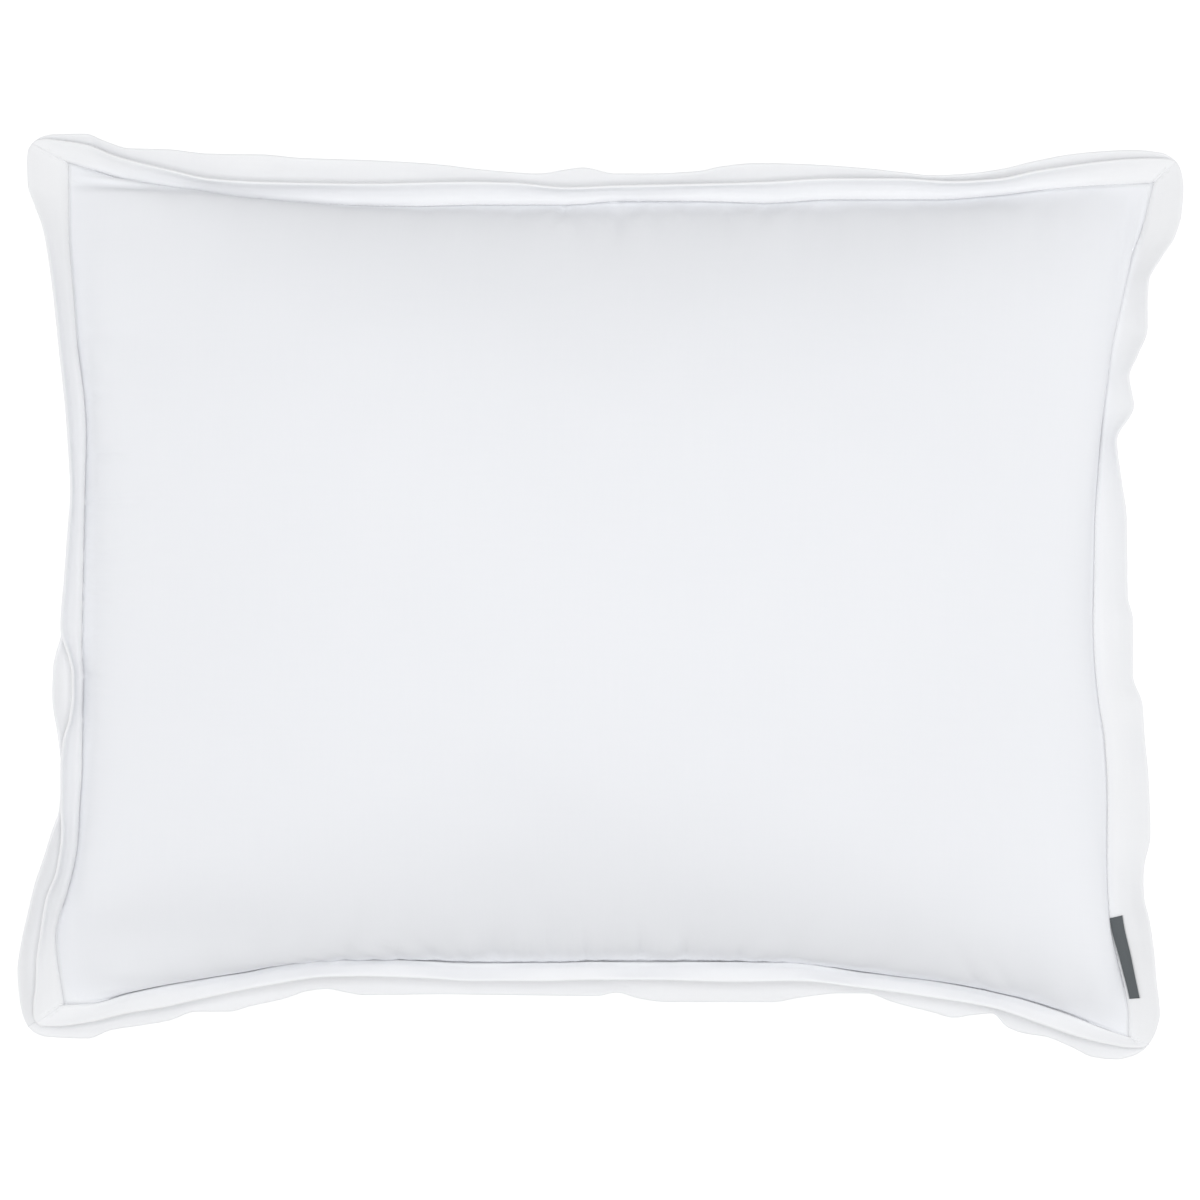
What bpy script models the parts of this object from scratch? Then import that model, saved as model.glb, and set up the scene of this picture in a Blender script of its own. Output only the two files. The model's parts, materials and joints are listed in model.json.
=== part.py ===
"""Bed pillow: a white linen cover with a double flange, closed by a concealed zip, around a feather and down insert.

The pillow lies on its back. +X runs along its length, +Y along its width, +Z up, in metres. The origin is under the
middle of the pillow, on the surface that it lies on.

Both panels, the insert's two shells and the filling share one grid of stations over the pillow's outline, so that each
layer lies a constant height under the one above it and no two layers cross.
"""

import math

import bmesh
import bpy
import numpy as np

# ---------------------------------------------------------------- driving dimensions, in metres
# The seam that joins the panels: its four corners, how far in each side is drawn at its middle, and its height.
SEAM_CORNER = {
    "bl": (-0.3080, -0.2345),
    "br": (0.3010, -0.2510),
    "tl": (-0.3070, 0.2480),
    "tr": (0.3165, 0.2375),
}
SEAM_MIDDLE = {"bottom": -0.2100, "top": 0.2255, "left": -0.2965, "right": 0.2835}
SEAM_HEIGHT_CORNER = 0.058
SEAM_HEIGHT_MIDDLE = 0.078

# The flanges' outer edge: its four corners, then at each side's middle how far out and up it stands from the seam.
EDGE_CORNER = {
    "bl": (-0.3342, -0.2515),
    "br": (0.3180, -0.2652),
    "tl": (-0.3270, 0.2652),
    "tr": (0.3342, 0.2520),
}
FRONT_EDGE = {
    "bottom": (0.0110, 0.0220),
    "top": (0.0105, 0.0222),
    "left": (0.0110, 0.0220),
    "right": (0.0220, 0.0110),
}
BACK_EDGE = {
    "bottom": (0.0150, 0.0010),
    "top": (0.0215, 0.0060),
    "left": (0.0145, 0.0080),
    "right": (0.0215, 0.0050),
}
FRONT_EDGE_CORNER_RISE = 0.0150
BACK_EDGE_CORNER_RISE = 0.0060
FLANGE_THICK = 0.0016

CROWN_ABOVE_SEAM = 0.0960
BELLY_BELOW_SEAM = 0.1000
SQUARENESS = 2.6  # exponent of the crown's profile: 2 is a parabola, more is squarer
FULLNESS = 0.78  # below 1 the crown rises more steeply from the seam
PANEL_THICK = 0.0008
GAP = 0.0003
SEAM_GAP = 0.0002

INSERT_INSET_X = 0.033  # shares of the pillow's length and width
INSERT_INSET_Y = 0.043
INSERT_CLEARANCE = 0.0008
TICKING_THICK = 0.0006
EDGE_BLEND = 0.075  # how far in from the insert's seam its shells reach the cover, as a share of the side
PIPING_RADIUS = 0.0013
THREAD_RADIUS = 0.0003

STATIONS_X = 18
STATIONS_Y = 16

# The concealed zip in the bottom seam: its chain faces out and up between the two flanges.
ZIP_TILT = math.radians(55)
ZIP_HALF_WIDTH = 0.0043  # from the chain's middle to the panel's edge
ZIP_CHAIN_START = -0.1650
ZIP_CHAIN_LENGTH = 0.2850
ZIP_TAPE_THICK = 0.0004
ZIP_TAPE_WIDTH = 0.0120
ZIP_TAPE_OVERHANG = 0.0120
COIL_INNER, COIL_OUTER = 0.00045, 0.00170
COIL_LOW, COIL_HIGH = -0.0005, 0.0007
SLIDER_LENGTH = 0.0075
SLIDER_REST_X = -0.1580
SLIDER_TRAVEL = 0.2650
PULL_PIVOT_OUT = 0.00275
PULL_LENGTH = 0.0150
PULL_HALF_WIDTH = 0.0019
PULL_HALF_THICK = 0.00045

LABEL_LENGTH = 0.0470
LABEL_WIDTH = 0.0080
LABEL_THICK = 0.0005
LABEL_CENTRE_Y = -0.2070
CARE_LABEL_LENGTH = 0.0400

for old in list(bpy.data.objects):
    bpy.data.objects.remove(old, do_unlink=True)


# ---------------------------------------------------------------- materials
def material(name, colour, roughness, metallic=0.0):
    made = bpy.data.materials.new(name)
    made.use_nodes = True
    shader = made.node_tree.nodes["Principled BSDF"]
    shader.inputs["Base Color"].default_value = (*colour, 1.0)
    shader.inputs["Roughness"].default_value = roughness
    shader.inputs["Metallic"].default_value = metallic
    return made


COLOURS = {
    "front_panel": ((0.86, 0.87, 0.89), 0.90),
    "back_panel": ((0.85, 0.86, 0.88), 0.90),
    "flange": ((0.88, 0.885, 0.90), 0.88),
    "thread": ((0.90, 0.90, 0.91), 0.70),
    "label": ((0.085, 0.105, 0.11), 0.75),
    "care": ((0.90, 0.90, 0.90), 0.55),
    "tape": ((0.83, 0.83, 0.84), 0.80),
    "coil": ((0.88, 0.88, 0.88), 0.35),
    "zip_metal": ((0.78, 0.78, 0.79), 0.30),
    "ticking": ((0.82, 0.82, 0.80), 0.85),
    "piping": ((0.80, 0.80, 0.79), 0.85),
    "fill": ((0.90, 0.89, 0.86), 1.00),
}
METALLIC = {"zip_metal": 1.0}
root = bpy.data.objects.new("pillow_origin", None)
bpy.context.scene.collection.objects.link(root)


def finish(bm, name, colour, parent=None):
    """Makes the named object of this mesh, with its faces turned outwards and a material of its own."""
    bmesh.ops.remove_doubles(bm, verts=bm.verts, dist=1e-6)
    bmesh.ops.recalc_face_normals(bm, faces=bm.faces)
    mesh = bpy.data.meshes.new(name)
    bm.to_mesh(mesh)
    bm.free()
    mesh.shade_smooth()
    mesh.set_sharp_from_angle(angle=math.radians(40))
    obj = bpy.data.objects.new(name, mesh)
    bpy.context.scene.collection.objects.link(obj)
    obj.parent = parent or root
    rgb, roughness = COLOURS[colour]
    mesh.materials.append(material(name, rgb, roughness, METALLIC.get(colour, 0.0)))
    return obj


# ---------------------------------------------------------------- the seam's outline
def smooth(x):
    x = np.clip(x, 0.0, 1.0)
    return x * x * (3 - 2 * x)


def drawn_in(side, u):
    """0 at a side's two corners and 1 along its middle. The bottom side is straight where the zip runs."""
    if side == "bottom":
        return smooth(u / 0.2) * smooth((1 - u) / 0.27)
    return 1 - abs(2 * u - 1) ** 3


ENDS = {"bottom": ("bl", "br"), "top": ("tl", "tr"), "left": ("bl", "tl"), "right": ("br", "tr")}
OUT = {"bottom": (0, -1), "top": (0, 1), "left": (-1, 0), "right": (1, 0)}


def bowed(side, u, corners, middle, height_corner, height_middle):
    """The point at u along a side that is drawn in to middle between its corners."""
    first, last = (corners[c] for c in ENDS[side])
    point = [first[k] + u * (last[k] - first[k]) for k in (0, 1)]
    across = 1 if side in ("bottom", "top") else 0
    share = drawn_in(side, u)
    point[across] += share * (middle[side] - point[across])
    return np.array([*point, height_corner + share * (height_middle - height_corner)])


def seam(side, u):
    return bowed(side, u, SEAM_CORNER, SEAM_MIDDLE, SEAM_HEIGHT_CORNER, SEAM_HEIGHT_MIDDLE)


def zip_opening(u):
    return smooth((u - 0.06) / 0.12) * smooth((0.94 - u) / 0.12)


ZIP_OFFSET = np.array([0.0, -2 * ZIP_HALF_WIDTH * math.sin(ZIP_TILT), -2 * ZIP_HALF_WIDTH * math.cos(ZIP_TILT)])


def back_seam(side, u):
    """The back panel's edge, which leaves the front one's where the zip lies between them."""
    return seam(side, u) + (zip_opening(u) * ZIP_OFFSET if side == "bottom" else 0)


def patch(s, t):
    """The surface stretched across the seam: s runs from left to right and t from bottom to top. It droops to the corners."""
    corner = {c: seam(side, u) for c, side, u in (("bl", "bottom", 0), ("br", "bottom", 1), ("tl", "top", 0), ("tr", "top", 1))}
    point = (
        (1 - t) * seam("bottom", s)
        + t * seam("top", s)
        + (1 - s) * seam("left", t)
        + s * seam("right", t)
        - (1 - s) * (1 - t) * corner["bl"]
        - s * (1 - t) * corner["br"]
        - (1 - s) * t * corner["tl"]
        - s * t * corner["tr"]
    )
    towards_end = (1 - t) * (1 - drawn_in("bottom", s)) + t * (1 - drawn_in("top", s))
    point[2] = SEAM_HEIGHT_MIDDLE - (SEAM_HEIGHT_MIDDLE - SEAM_HEIGHT_CORNER) * towards_end * (1 - drawn_in("left", t))
    return point


def stations(count, inset):
    """Both edges, both edges of the insert, and stations between them that crowd towards the edges."""
    inner = [inset + (1 - 2 * inset) * (0.5 - 0.5 * math.cos(math.pi * k / (count - 2))) for k in range(count - 1)]
    return [0.0, *inner, 1.0]


S = stations(STATIONS_X, INSERT_INSET_X)
T = stations(STATIONS_Y, INSERT_INSET_Y)
BASE = np.array([[patch(s, t) for t in T] for s in S])


def bulge(s, t):
    return ((1 - abs(2 * s - 1) ** SQUARENESS) * (1 - abs(2 * t - 1) ** SQUARENESS)) ** FULLNESS


BULGE = np.array([[bulge(s, t) for t in T] for s in S])


def steepness(height):
    """How much taller than thick a layer of this height field is, at each station."""
    x, y = BASE[..., 0], BASE[..., 1]
    xs, xt = np.gradient(x, axis=0), np.gradient(x, axis=1)
    ys, yt = np.gradient(y, axis=0), np.gradient(y, axis=1)
    hs, ht = np.gradient(height, axis=0), np.gradient(height, axis=1)
    area = xs * yt - xt * ys
    gx = (hs * yt - ht * ys) / area
    gy = (ht * xs - hs * xt) / area
    return np.sqrt(1 + np.clip(gx * gx + gy * gy, 0, 3.0))


FRONT_IN = BASE[..., 2] + SEAM_GAP + CROWN_ABOVE_SEAM * BULGE
FRONT_TALL = steepness(FRONT_IN)
FRONT_OUT = FRONT_IN + PANEL_THICK * FRONT_TALL

# The back panel: its edge moves out along the zip, within the strip that the insert leaves free.
shift = np.array([[zip_opening(s) * max(0.0, 1 - t / 0.04) ** 2 for t in T] for s in S])
BACK_BASE = BASE + shift[..., None] * ZIP_OFFSET
BACK_FREE = BACK_BASE[..., 2] - SEAM_GAP - BELLY_BELOW_SEAM * BULGE
BACK_TALL = steepness(BACK_FREE)
BACK_OUT = np.maximum(BACK_FREE - PANEL_THICK * BACK_TALL, 0.0)
BACK_TALL = np.where(BACK_OUT > 0, BACK_TALL, 1.0)
BACK_IN = BACK_OUT + PANEL_THICK * BACK_TALL


def lift(base, height):
    points = base.copy()
    points[..., 2] = height
    return points


# ---------------------------------------------------------------- mesh helpers
def add_grid(bm, points):
    """The vertices of a grid and its faces, each quad cut along the same diagonal on every layer."""
    verts = [[bm.verts.new(p) for p in row] for row in points]
    for i in range(len(verts) - 1):
        for j in range(len(verts[0]) - 1):
            a, b, c, d = verts[i][j], verts[i + 1][j], verts[i + 1][j + 1], verts[i][j + 1]
            if (i < (len(verts) - 1) / 2) == (j < (len(verts[0]) - 1) / 2):
                bm.faces.new((a, b, c))
                bm.faces.new((a, c, d))
            else:
                bm.faces.new((a, b, d))
                bm.faces.new((b, c, d))
    return verts


def border(verts):
    return (
        [row[0] for row in verts]
        + verts[-1][1:]
        + [row[-1] for row in reversed(verts[:-1])]
        + list(reversed(verts[0][1:-1]))
    )


def layer(name, upper, lower, colour):
    """A closed solid between two grids with the same stations."""
    bm = bmesh.new()
    high, low = border(add_grid(bm, upper)), border(add_grid(bm, lower))
    for k in range(len(high)):
        n = (k + 1) % len(high)
        bm.faces.new((high[k], high[n], low[n], low[k]))
    return finish(bm, name, colour)


def ring(name, centres, radius, sides, colour):
    """A closed tube of this radius through the centres."""
    bm = bmesh.new()
    count = len(centres)
    rows = []
    for k, centre in enumerate(centres):
        before, after = centres[k - 1], centres[(k + 1) % count]
        first = (centre - before)[:2] / np.linalg.norm((centre - before)[:2])
        second = (after - centre)[:2] / np.linalg.norm((after - centre)[:2])
        turn = first + second
        turn /= np.linalg.norm(turn)
        wide = 1 / max(0.6, float(turn @ first))
        out = np.array([turn[1] * wide, -turn[0] * wide, 0.0])
        rows.append(
            [
                bm.verts.new(
                    centre
                    + radius * math.cos(2 * math.pi * q / sides) * out
                    + radius * math.sin(2 * math.pi * q / sides) * np.array([0, 0, 1.0])
                )
                for q in range(sides)
            ]
        )
    for k in range(count):
        for q in range(sides):
            n, r = (k + 1) % count, (q + 1) % sides
            bm.faces.new((rows[k][q], rows[n][q], rows[n][r], rows[k][r]))
    return finish(bm, name, colour)


def box(bm, low, high):
    made = bmesh.ops.create_cube(bm, size=1.0)["verts"]
    low, high = np.array(low), np.array(high)
    for v in made:
        v.co = (low + high) / 2 + np.array(v.co) * (high - low)


def union(name, boxes, colour, parent, bevel=0.0):
    """One body from overlapping boxes, through Boolean unions with hidden helpers."""
    bm = bmesh.new()
    box(bm, *boxes[0])
    obj = finish(bm, name, colour, parent)
    for k, corners in enumerate(boxes[1:]):
        bm = bmesh.new()
        box(bm, *corners)
        mesh = bpy.data.meshes.new(f"{name}_helper_{k}")
        bm.to_mesh(mesh)
        bm.free()
        helper = bpy.data.objects.new(f"{name}_helper_{k}", mesh)
        bpy.context.scene.collection.objects.link(helper)
        helper.parent = obj
        helper.hide_render = True
        helper.display_type = "WIRE"
        join = obj.modifiers.new(f"join_{k}", "BOOLEAN")
        join.operation = "UNION"
        join.solver = "EXACT"
        join.object = helper
    if bevel:
        rounded = obj.modifiers.new("rounded", "BEVEL")
        rounded.width = bevel
        rounded.segments = 1
        rounded.limit_method = "ANGLE"
    return obj


# ---------------------------------------------------------------- the cover's panels
layer("front_panel", lift(BASE, FRONT_OUT), lift(BASE, FRONT_IN), "front_panel")
layer("back_panel", lift(BACK_BASE, BACK_IN), lift(BACK_BASE, BACK_OUT), "back_panel")

# ---------------------------------------------------------------- the insert: shells, filling and piping
inside = (slice(1, -1), slice(1, -1))
s_in, t_in = np.array(S)[1:-1, None], np.array(T)[None, 1:-1]


def towards_cover(distance, length):
    share = np.clip(distance / length, 0, 1)
    return 1 - (1 - share) ** 2.2


edge_share = towards_cover(np.minimum(s_in, 1 - s_in) - INSERT_INSET_X, EDGE_BLEND) * towards_cover(
    np.minimum(t_in, 1 - t_in) - INSERT_INSET_Y, EDGE_BLEND * 1.25
)
middle = BASE[inside][..., 2]
tall_front, tall_back = FRONT_TALL[inside], BACK_TALL[inside]
roof = FRONT_IN[inside] - INSERT_CLEARANCE
floor = BACK_IN[inside] + INSERT_CLEARANCE
front_in = middle + SEAM_GAP + edge_share * (roof - TICKING_THICK * tall_front - middle - SEAM_GAP)
front_out = front_in + TICKING_THICK * tall_front * (0.6 + 0.4 * edge_share)
back_in = middle - SEAM_GAP - edge_share * (middle - SEAM_GAP - floor - TICKING_THICK * tall_back)
back_out = back_in - TICKING_THICK * tall_back * (0.6 + 0.4 * edge_share)
layer("insert_shell_front", lift(BASE[inside], front_out), lift(BASE[inside], front_in), "ticking")
layer("insert_shell_back", lift(BASE[inside], back_in), lift(BASE[inside], back_out), "ticking")

core = (slice(1, -1), slice(1, -1))
core_base = BASE[inside][core]
core_high = front_in[core] - 0.0005 * tall_front[core]
core_low = back_in[core] + 0.0005 * tall_back[core]
layer("insert_fill", lift(core_base, core_high), lift(core_base, core_low), "fill")


def around(ds, dt):
    """Points on the stretched surface all the way round, at the grid's stations, in from the seam by these shares."""
    s_line = [min(max(s, ds), 1 - ds) for s in S[1:-1]]
    t_line = [min(max(t, dt), 1 - dt) for t in T[1:-1]]
    s_line[0], s_line[-1], t_line[0], t_line[-1] = ds, 1 - ds, dt, 1 - dt
    loop = [(s, dt) for s in s_line] + [(1 - ds, t) for t in t_line[1:]]
    loop += [(s, 1 - dt) for s in reversed(s_line[:-1])] + [(ds, t) for t in reversed(t_line[1:-1])]
    return [patch(s, t) for s, t in loop]


out_by = PIPING_RADIUS + 0.00045
ring("insert_piping", around(INSERT_INSET_X - out_by / 0.60, INSERT_INSET_Y - out_by / 0.46), PIPING_RADIUS, 8, "piping")


def plate(name, s_range, t_range, thick, colour, cells=4):
    """A small flat label that lies on the stretched surface."""
    ss, tt = np.linspace(*s_range, cells if s_range[1] - s_range[0] > 0.05 else 2), np.linspace(*t_range, cells)
    points = np.array([[patch(s, t) for t in tt] for s in ss])
    high, low = points.copy(), points.copy()
    high[..., 2] += thick / 2
    low[..., 2] -= thick / 2
    return layer(name, high, low, colour)


t_span = CARE_LABEL_LENGTH / (SEAM_CORNER["tl"][1] - SEAM_CORNER["bl"][1])
plate("cover_care_label", (0.005, 0.024), (0.30, 0.30 + t_span), 0.0004, "care")
plate("insert_care_label", (1 - 0.0265, 1 - 0.006), (0.52, 0.52 + t_span), 0.0004, "care")


# ---------------------------------------------------------------- the flanges: eight folded strips, mitred at the corners
def edge(side, u, reach, corner_rise, root_of):
    """The flange's outer edge at u along a side."""
    out = np.array([*OUT[side], 0.0])
    across = 1 if side in ("bottom", "top") else 0
    first, last = (EDGE_CORNER[c] for c in ENDS[side])
    point = np.array([first[0] + u * (last[0] - first[0]), first[1] + u * (last[1] - first[1]), 0.0])
    base = root_of(side, u)
    share = drawn_in(side, u)
    far, up = reach[side]
    point[across] += share * ((base + far * out)[across] - point[across])
    point[2] = base[2] + corner_rise + share * (up - corner_rise)
    return point


def strip_frame(side, u, front):
    """(root, edge, direction across, upward normal) of a strip's middle plane at u along a side."""
    reach, rise = (FRONT_EDGE, FRONT_EDGE_CORNER_RISE) if front else (BACK_EDGE, BACK_EDGE_CORNER_RISE)
    root_of = seam if front else back_seam
    out = np.array([*OUT[side], 0.0])
    tip = edge(side, u, reach, rise, root_of)
    steep_tip = edge(side, u, FRONT_EDGE, FRONT_EDGE_CORNER_RISE, seam)
    start = root_of(side, u)
    steep = math.atan2(steep_tip[2] - seam(side, u)[2], abs((steep_tip - seam(side, u)) @ out))
    half = FLANGE_THICK / 2
    start = start + out * (GAP + 0.0001 + (2 * half + GAP) * math.sin(steep))
    along = tip - start
    across_size = along @ out
    tilt = math.atan2(along[2], across_size)
    normal = -math.sin(tilt) * out + math.cos(tilt) * np.array([0, 0, 1.0])
    offset = (half + GAP / 1.5) * normal * (1 if front else -1)
    return start + offset, tip + offset, normal


def strip(name, side, front):
    stations_of = S if side in ("bottom", "top") else T
    high, low = [], []
    first, last = stations_of[0], stations_of[-1]
    for u in stations_of:
        start, tip, normal = strip_frame(side, u, front)
        # The mitre leaves a fine gap to the next strip.
        back_off = np.zeros(3)
        if u in (first, last):
            lengthwise = np.array([1.0, 0, 0]) if side in ("bottom", "top") else np.array([0, 1.0, 0])
            back_off = lengthwise * (1 if u == first else -1)
        rows = [start + q * (tip - start) + back_off * (0.0008 + 0.0011 * q) for q in (0.0, 0.5, 1.0)]
        high.append([p + normal * FLANGE_THICK / 2 for p in rows])
        low.append([p - normal * FLANGE_THICK / 2 for p in rows])
    return layer(name, np.array(high), np.array(low), "flange")


for side in ("top", "bottom", "left", "right"):
    strip(f"front_flange_{side}", side, True)
    strip(f"back_flange_{side}", side, False)


# The woven label: it lies on the right front flange, along the seam.
def right_share(y):
    low, high = 0.0, 1.0
    for _ in range(40):
        mid = (low + high) / 2
        low, high = (mid, high) if seam("right", mid)[1] < y else (low, mid)
    return low


u_from, u_to = (right_share(LABEL_CENTRE_Y + k * LABEL_LENGTH / 2) for k in (-1, 1))
stops = sorted({u_from, u_to, *[t for t in T if u_from < t < u_to]})
label_high, label_low = [], []
for u in stops:
    start, tip, normal = strip_frame("right", u, True)
    across = (tip - start) / np.linalg.norm(tip - start)
    rows = [start + across * d for d in (0.0012, 0.0012 + LABEL_WIDTH)]
    label_low.append([p + normal * (FLANGE_THICK / 2 + GAP) for p in rows])
    label_high.append([p + normal * (FLANGE_THICK / 2 + GAP + LABEL_THICK) for p in rows])
layer("woven_label", np.array(label_high), np.array(label_low), "label")


# ---------------------------------------------------------------- the seams' threads
def seam_ring(edge_of, height, out_by):
    loop = [("bottom", s) for s in S[:-1]] + [("right", t) for t in T[:-1]]
    loop += [("top", s) for s in reversed(S[1:])] + [("left", t) for t in reversed(T[1:])]
    points = []
    for side, u in loop:
        out = np.array([*OUT[side], 0.0])
        corner = u in (0.0, 1.0)
        points.append(edge_of(side, u) + (0 if corner else 1) * out * out_by + np.array([0, 0, height]))
    return points


ring("front_seam_thread", seam_ring(seam, 0.0030, 0.0004), THREAD_RADIUS, 5, "thread")
ring("back_seam_thread", seam_ring(back_seam, -0.0034, 0.0006), THREAD_RADIUS, 5, "thread")

# ---------------------------------------------------------------- the zip, in its own frame
# Local x runs along the chain, local -y faces out between the flanges, local z points to the front panel.
zip_centre = np.array([0.0, SEAM_MIDDLE["bottom"], SEAM_HEIGHT_MIDDLE]) + ZIP_OFFSET / 2
zip_frame = bpy.data.objects.new("zip_frame", None)
bpy.context.scene.collection.objects.link(zip_frame)
zip_frame.parent = root
zip_frame.location = zip_centre
zip_frame.rotation_euler = (-ZIP_TILT, 0, 0)


def profile(name, outline, x_from, x_to, colour, parent=zip_frame):
    """A straight bar along x with this outline in (y, z)."""
    bm = bmesh.new()
    ends = [[bm.verts.new((x, y, z)) for y, z in outline] for x in (x_from, x_to)]
    bm.faces.new(ends[0])
    bm.faces.new(list(reversed(ends[1])))
    for k in range(len(outline)):
        n = (k + 1) % len(outline)
        bm.faces.new((ends[0][k], ends[0][n], ends[1][n], ends[1][k]))
    return finish(bm, name, colour, parent)


def coil_outline(sign):
    """A coil's cross-section: a flattened octagon."""
    mid_z, mid_y = (COIL_INNER + COIL_OUTER) / 2, -(COIL_LOW + COIL_HIGH) / 2
    half_z, half_y = (COIL_OUTER - COIL_INNER) / 2, (COIL_HIGH - COIL_LOW) / 2
    turn = [math.radians(22.5 + 45 * k) for k in range(8)]
    grow = 1 / math.cos(math.radians(22.5))
    return [(mid_y + half_y * grow * math.sin(a), sign * (mid_z + half_z * grow * math.cos(a))) for a in turn]


chain_end = ZIP_CHAIN_START + ZIP_CHAIN_LENGTH
profile("zipper_coil_front", coil_outline(1), ZIP_CHAIN_START, chain_end, "coil")
profile("zipper_coil_back", coil_outline(-1), ZIP_CHAIN_START, chain_end, "coil")

tape_y = 0.0010
half_tape = ZIP_TAPE_THICK / 2
tape_from, tape_to = ZIP_CHAIN_START - 0.005, chain_end + 0.005
profile(
    "zipper_tape_front",
    [
        (tape_y - half_tape, 0.00045),
        (tape_y + half_tape, 0.00045),
        (tape_y + half_tape, ZIP_TAPE_WIDTH),
        (tape_y - half_tape, ZIP_TAPE_WIDTH),
    ],
    tape_from,
    tape_to,
    "tape",
)
fold_z, leg, leg_rise = 0.0032, 0.0085, 0.0046  # the leg runs up along the inside of the back panel
profile(
    "zipper_tape_back",
    [
        (tape_y - half_tape, -0.00045),
        (tape_y - half_tape, -fold_z - half_tape),
        (tape_y + leg, -fold_z - half_tape + leg_rise),
        (tape_y + leg, -fold_z + half_tape + leg_rise),
        (tape_y + half_tape, -fold_z + half_tape),
        (tape_y + half_tape, -0.00045),
    ],
    tape_from,
    tape_to,
    "tape",
)


def stop_block(name, x_from, x_to, z_from, z_to):
    return union(name, [((x_from, -0.0009, z_from), (x_to, 0.0004, z_to))], "zip_metal", zip_frame, bevel=0.0002)


stop_block("zipper_top_stop_front", ZIP_CHAIN_START - 0.0030, ZIP_CHAIN_START - 0.0004, 0.0004, 0.0019)
stop_block("zipper_top_stop_back", ZIP_CHAIN_START - 0.0030, ZIP_CHAIN_START - 0.0004, -0.0019, -0.0004)
stop_block("zipper_bottom_stop", chain_end + 0.0004, chain_end + 0.0034, -0.0019, 0.0019)

# The slider: two plates around the chain, a thin web between the coils, and an arch that holds the pull.
half = SLIDER_LENGTH / 2
slider = union(
    "zipper_slider",
    [
        ((-half, -0.0019, -0.0023), (half, -0.0010, 0.0023)),
        ((-half, 0.0015, -0.0017), (half, 0.0024, 0.0017)),
        ((-half + 0.0005, -0.0012, -0.0002), (-half + 0.0030, 0.0017, 0.0002)),
        ((-half, -0.0012, 0.0020), (half, -0.0001, 0.0023)),
        ((-half, -0.0012, -0.0023), (half, -0.0001, -0.0020)),
        ((-0.0019, -0.0039, -0.0006), (-0.0012, -0.0018, 0.0006)),
        ((0.0012, -0.0039, -0.0006), (0.0019, -0.0018, 0.0006)),
        ((-0.0019, -0.0042, -0.0006), (0.0019, -0.0036, 0.0006)),
    ],
    "zip_metal",
    zip_frame,
)
slider.location = (SLIDER_REST_X, 0, 0)

# The pull: a flat tab with a window at its hinge end, whose bar turns inside the slider's arch.
w, h = PULL_HALF_WIDTH, PULL_HALF_THICK
pull = union(
    "zipper_pull",
    [
        ((-h, -h, -w), (h, h, w)),
        ((-h, -h, 0.0011), (0.0040, h, w)),
        ((-h, -h, -w), (0.0040, h, -0.0011)),
        ((0.0032, -h, -w), (PULL_LENGTH, h, w)),
    ],
    "zip_metal",
    slider,
)
pull.location = (0, -PULL_PIVOT_OUT, 0)
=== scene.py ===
import json
import math

import bmesh
import bpy
import numpy as np
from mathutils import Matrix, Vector


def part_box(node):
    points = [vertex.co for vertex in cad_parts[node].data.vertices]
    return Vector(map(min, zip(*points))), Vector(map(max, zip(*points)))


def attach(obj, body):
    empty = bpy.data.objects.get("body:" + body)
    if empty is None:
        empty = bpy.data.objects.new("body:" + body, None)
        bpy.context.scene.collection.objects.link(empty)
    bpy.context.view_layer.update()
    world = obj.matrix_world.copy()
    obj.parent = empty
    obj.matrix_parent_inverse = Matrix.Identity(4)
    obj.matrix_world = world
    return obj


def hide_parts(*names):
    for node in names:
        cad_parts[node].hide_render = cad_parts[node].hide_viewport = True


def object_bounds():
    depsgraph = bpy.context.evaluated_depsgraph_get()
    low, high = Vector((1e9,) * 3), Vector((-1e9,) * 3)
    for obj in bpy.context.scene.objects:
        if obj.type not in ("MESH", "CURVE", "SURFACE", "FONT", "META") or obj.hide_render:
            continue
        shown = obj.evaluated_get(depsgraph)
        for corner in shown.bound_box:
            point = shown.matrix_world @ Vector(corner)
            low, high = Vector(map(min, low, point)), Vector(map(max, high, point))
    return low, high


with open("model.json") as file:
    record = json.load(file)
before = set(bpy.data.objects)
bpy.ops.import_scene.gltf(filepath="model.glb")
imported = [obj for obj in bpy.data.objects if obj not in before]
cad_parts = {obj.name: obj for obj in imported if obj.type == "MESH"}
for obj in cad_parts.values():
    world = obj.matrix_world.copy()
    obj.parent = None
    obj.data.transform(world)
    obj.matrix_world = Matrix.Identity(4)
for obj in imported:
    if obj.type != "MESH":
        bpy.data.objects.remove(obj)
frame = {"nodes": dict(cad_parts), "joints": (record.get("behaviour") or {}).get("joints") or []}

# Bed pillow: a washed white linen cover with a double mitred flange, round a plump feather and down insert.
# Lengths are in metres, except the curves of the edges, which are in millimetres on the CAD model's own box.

scene = bpy.context.scene
cad_low, cad_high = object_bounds()
cad_size = cad_high - cad_low
rng = np.random.default_rng(7)

MM_X, MM_Y = cad_size.x / 669.45, cad_size.y / 531.83
MIDDLE_X, MIDDLE_Y = (cad_low.x + cad_high.x) / 2, (cad_low.y + cad_high.y) / 2
SEAM_Z = 0.078 / 0.175 * cad_size.z  # the seam's height along the sides
CORNER_DROP = 0.018
EYE = 2.4  # the camera's height above the seam

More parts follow.
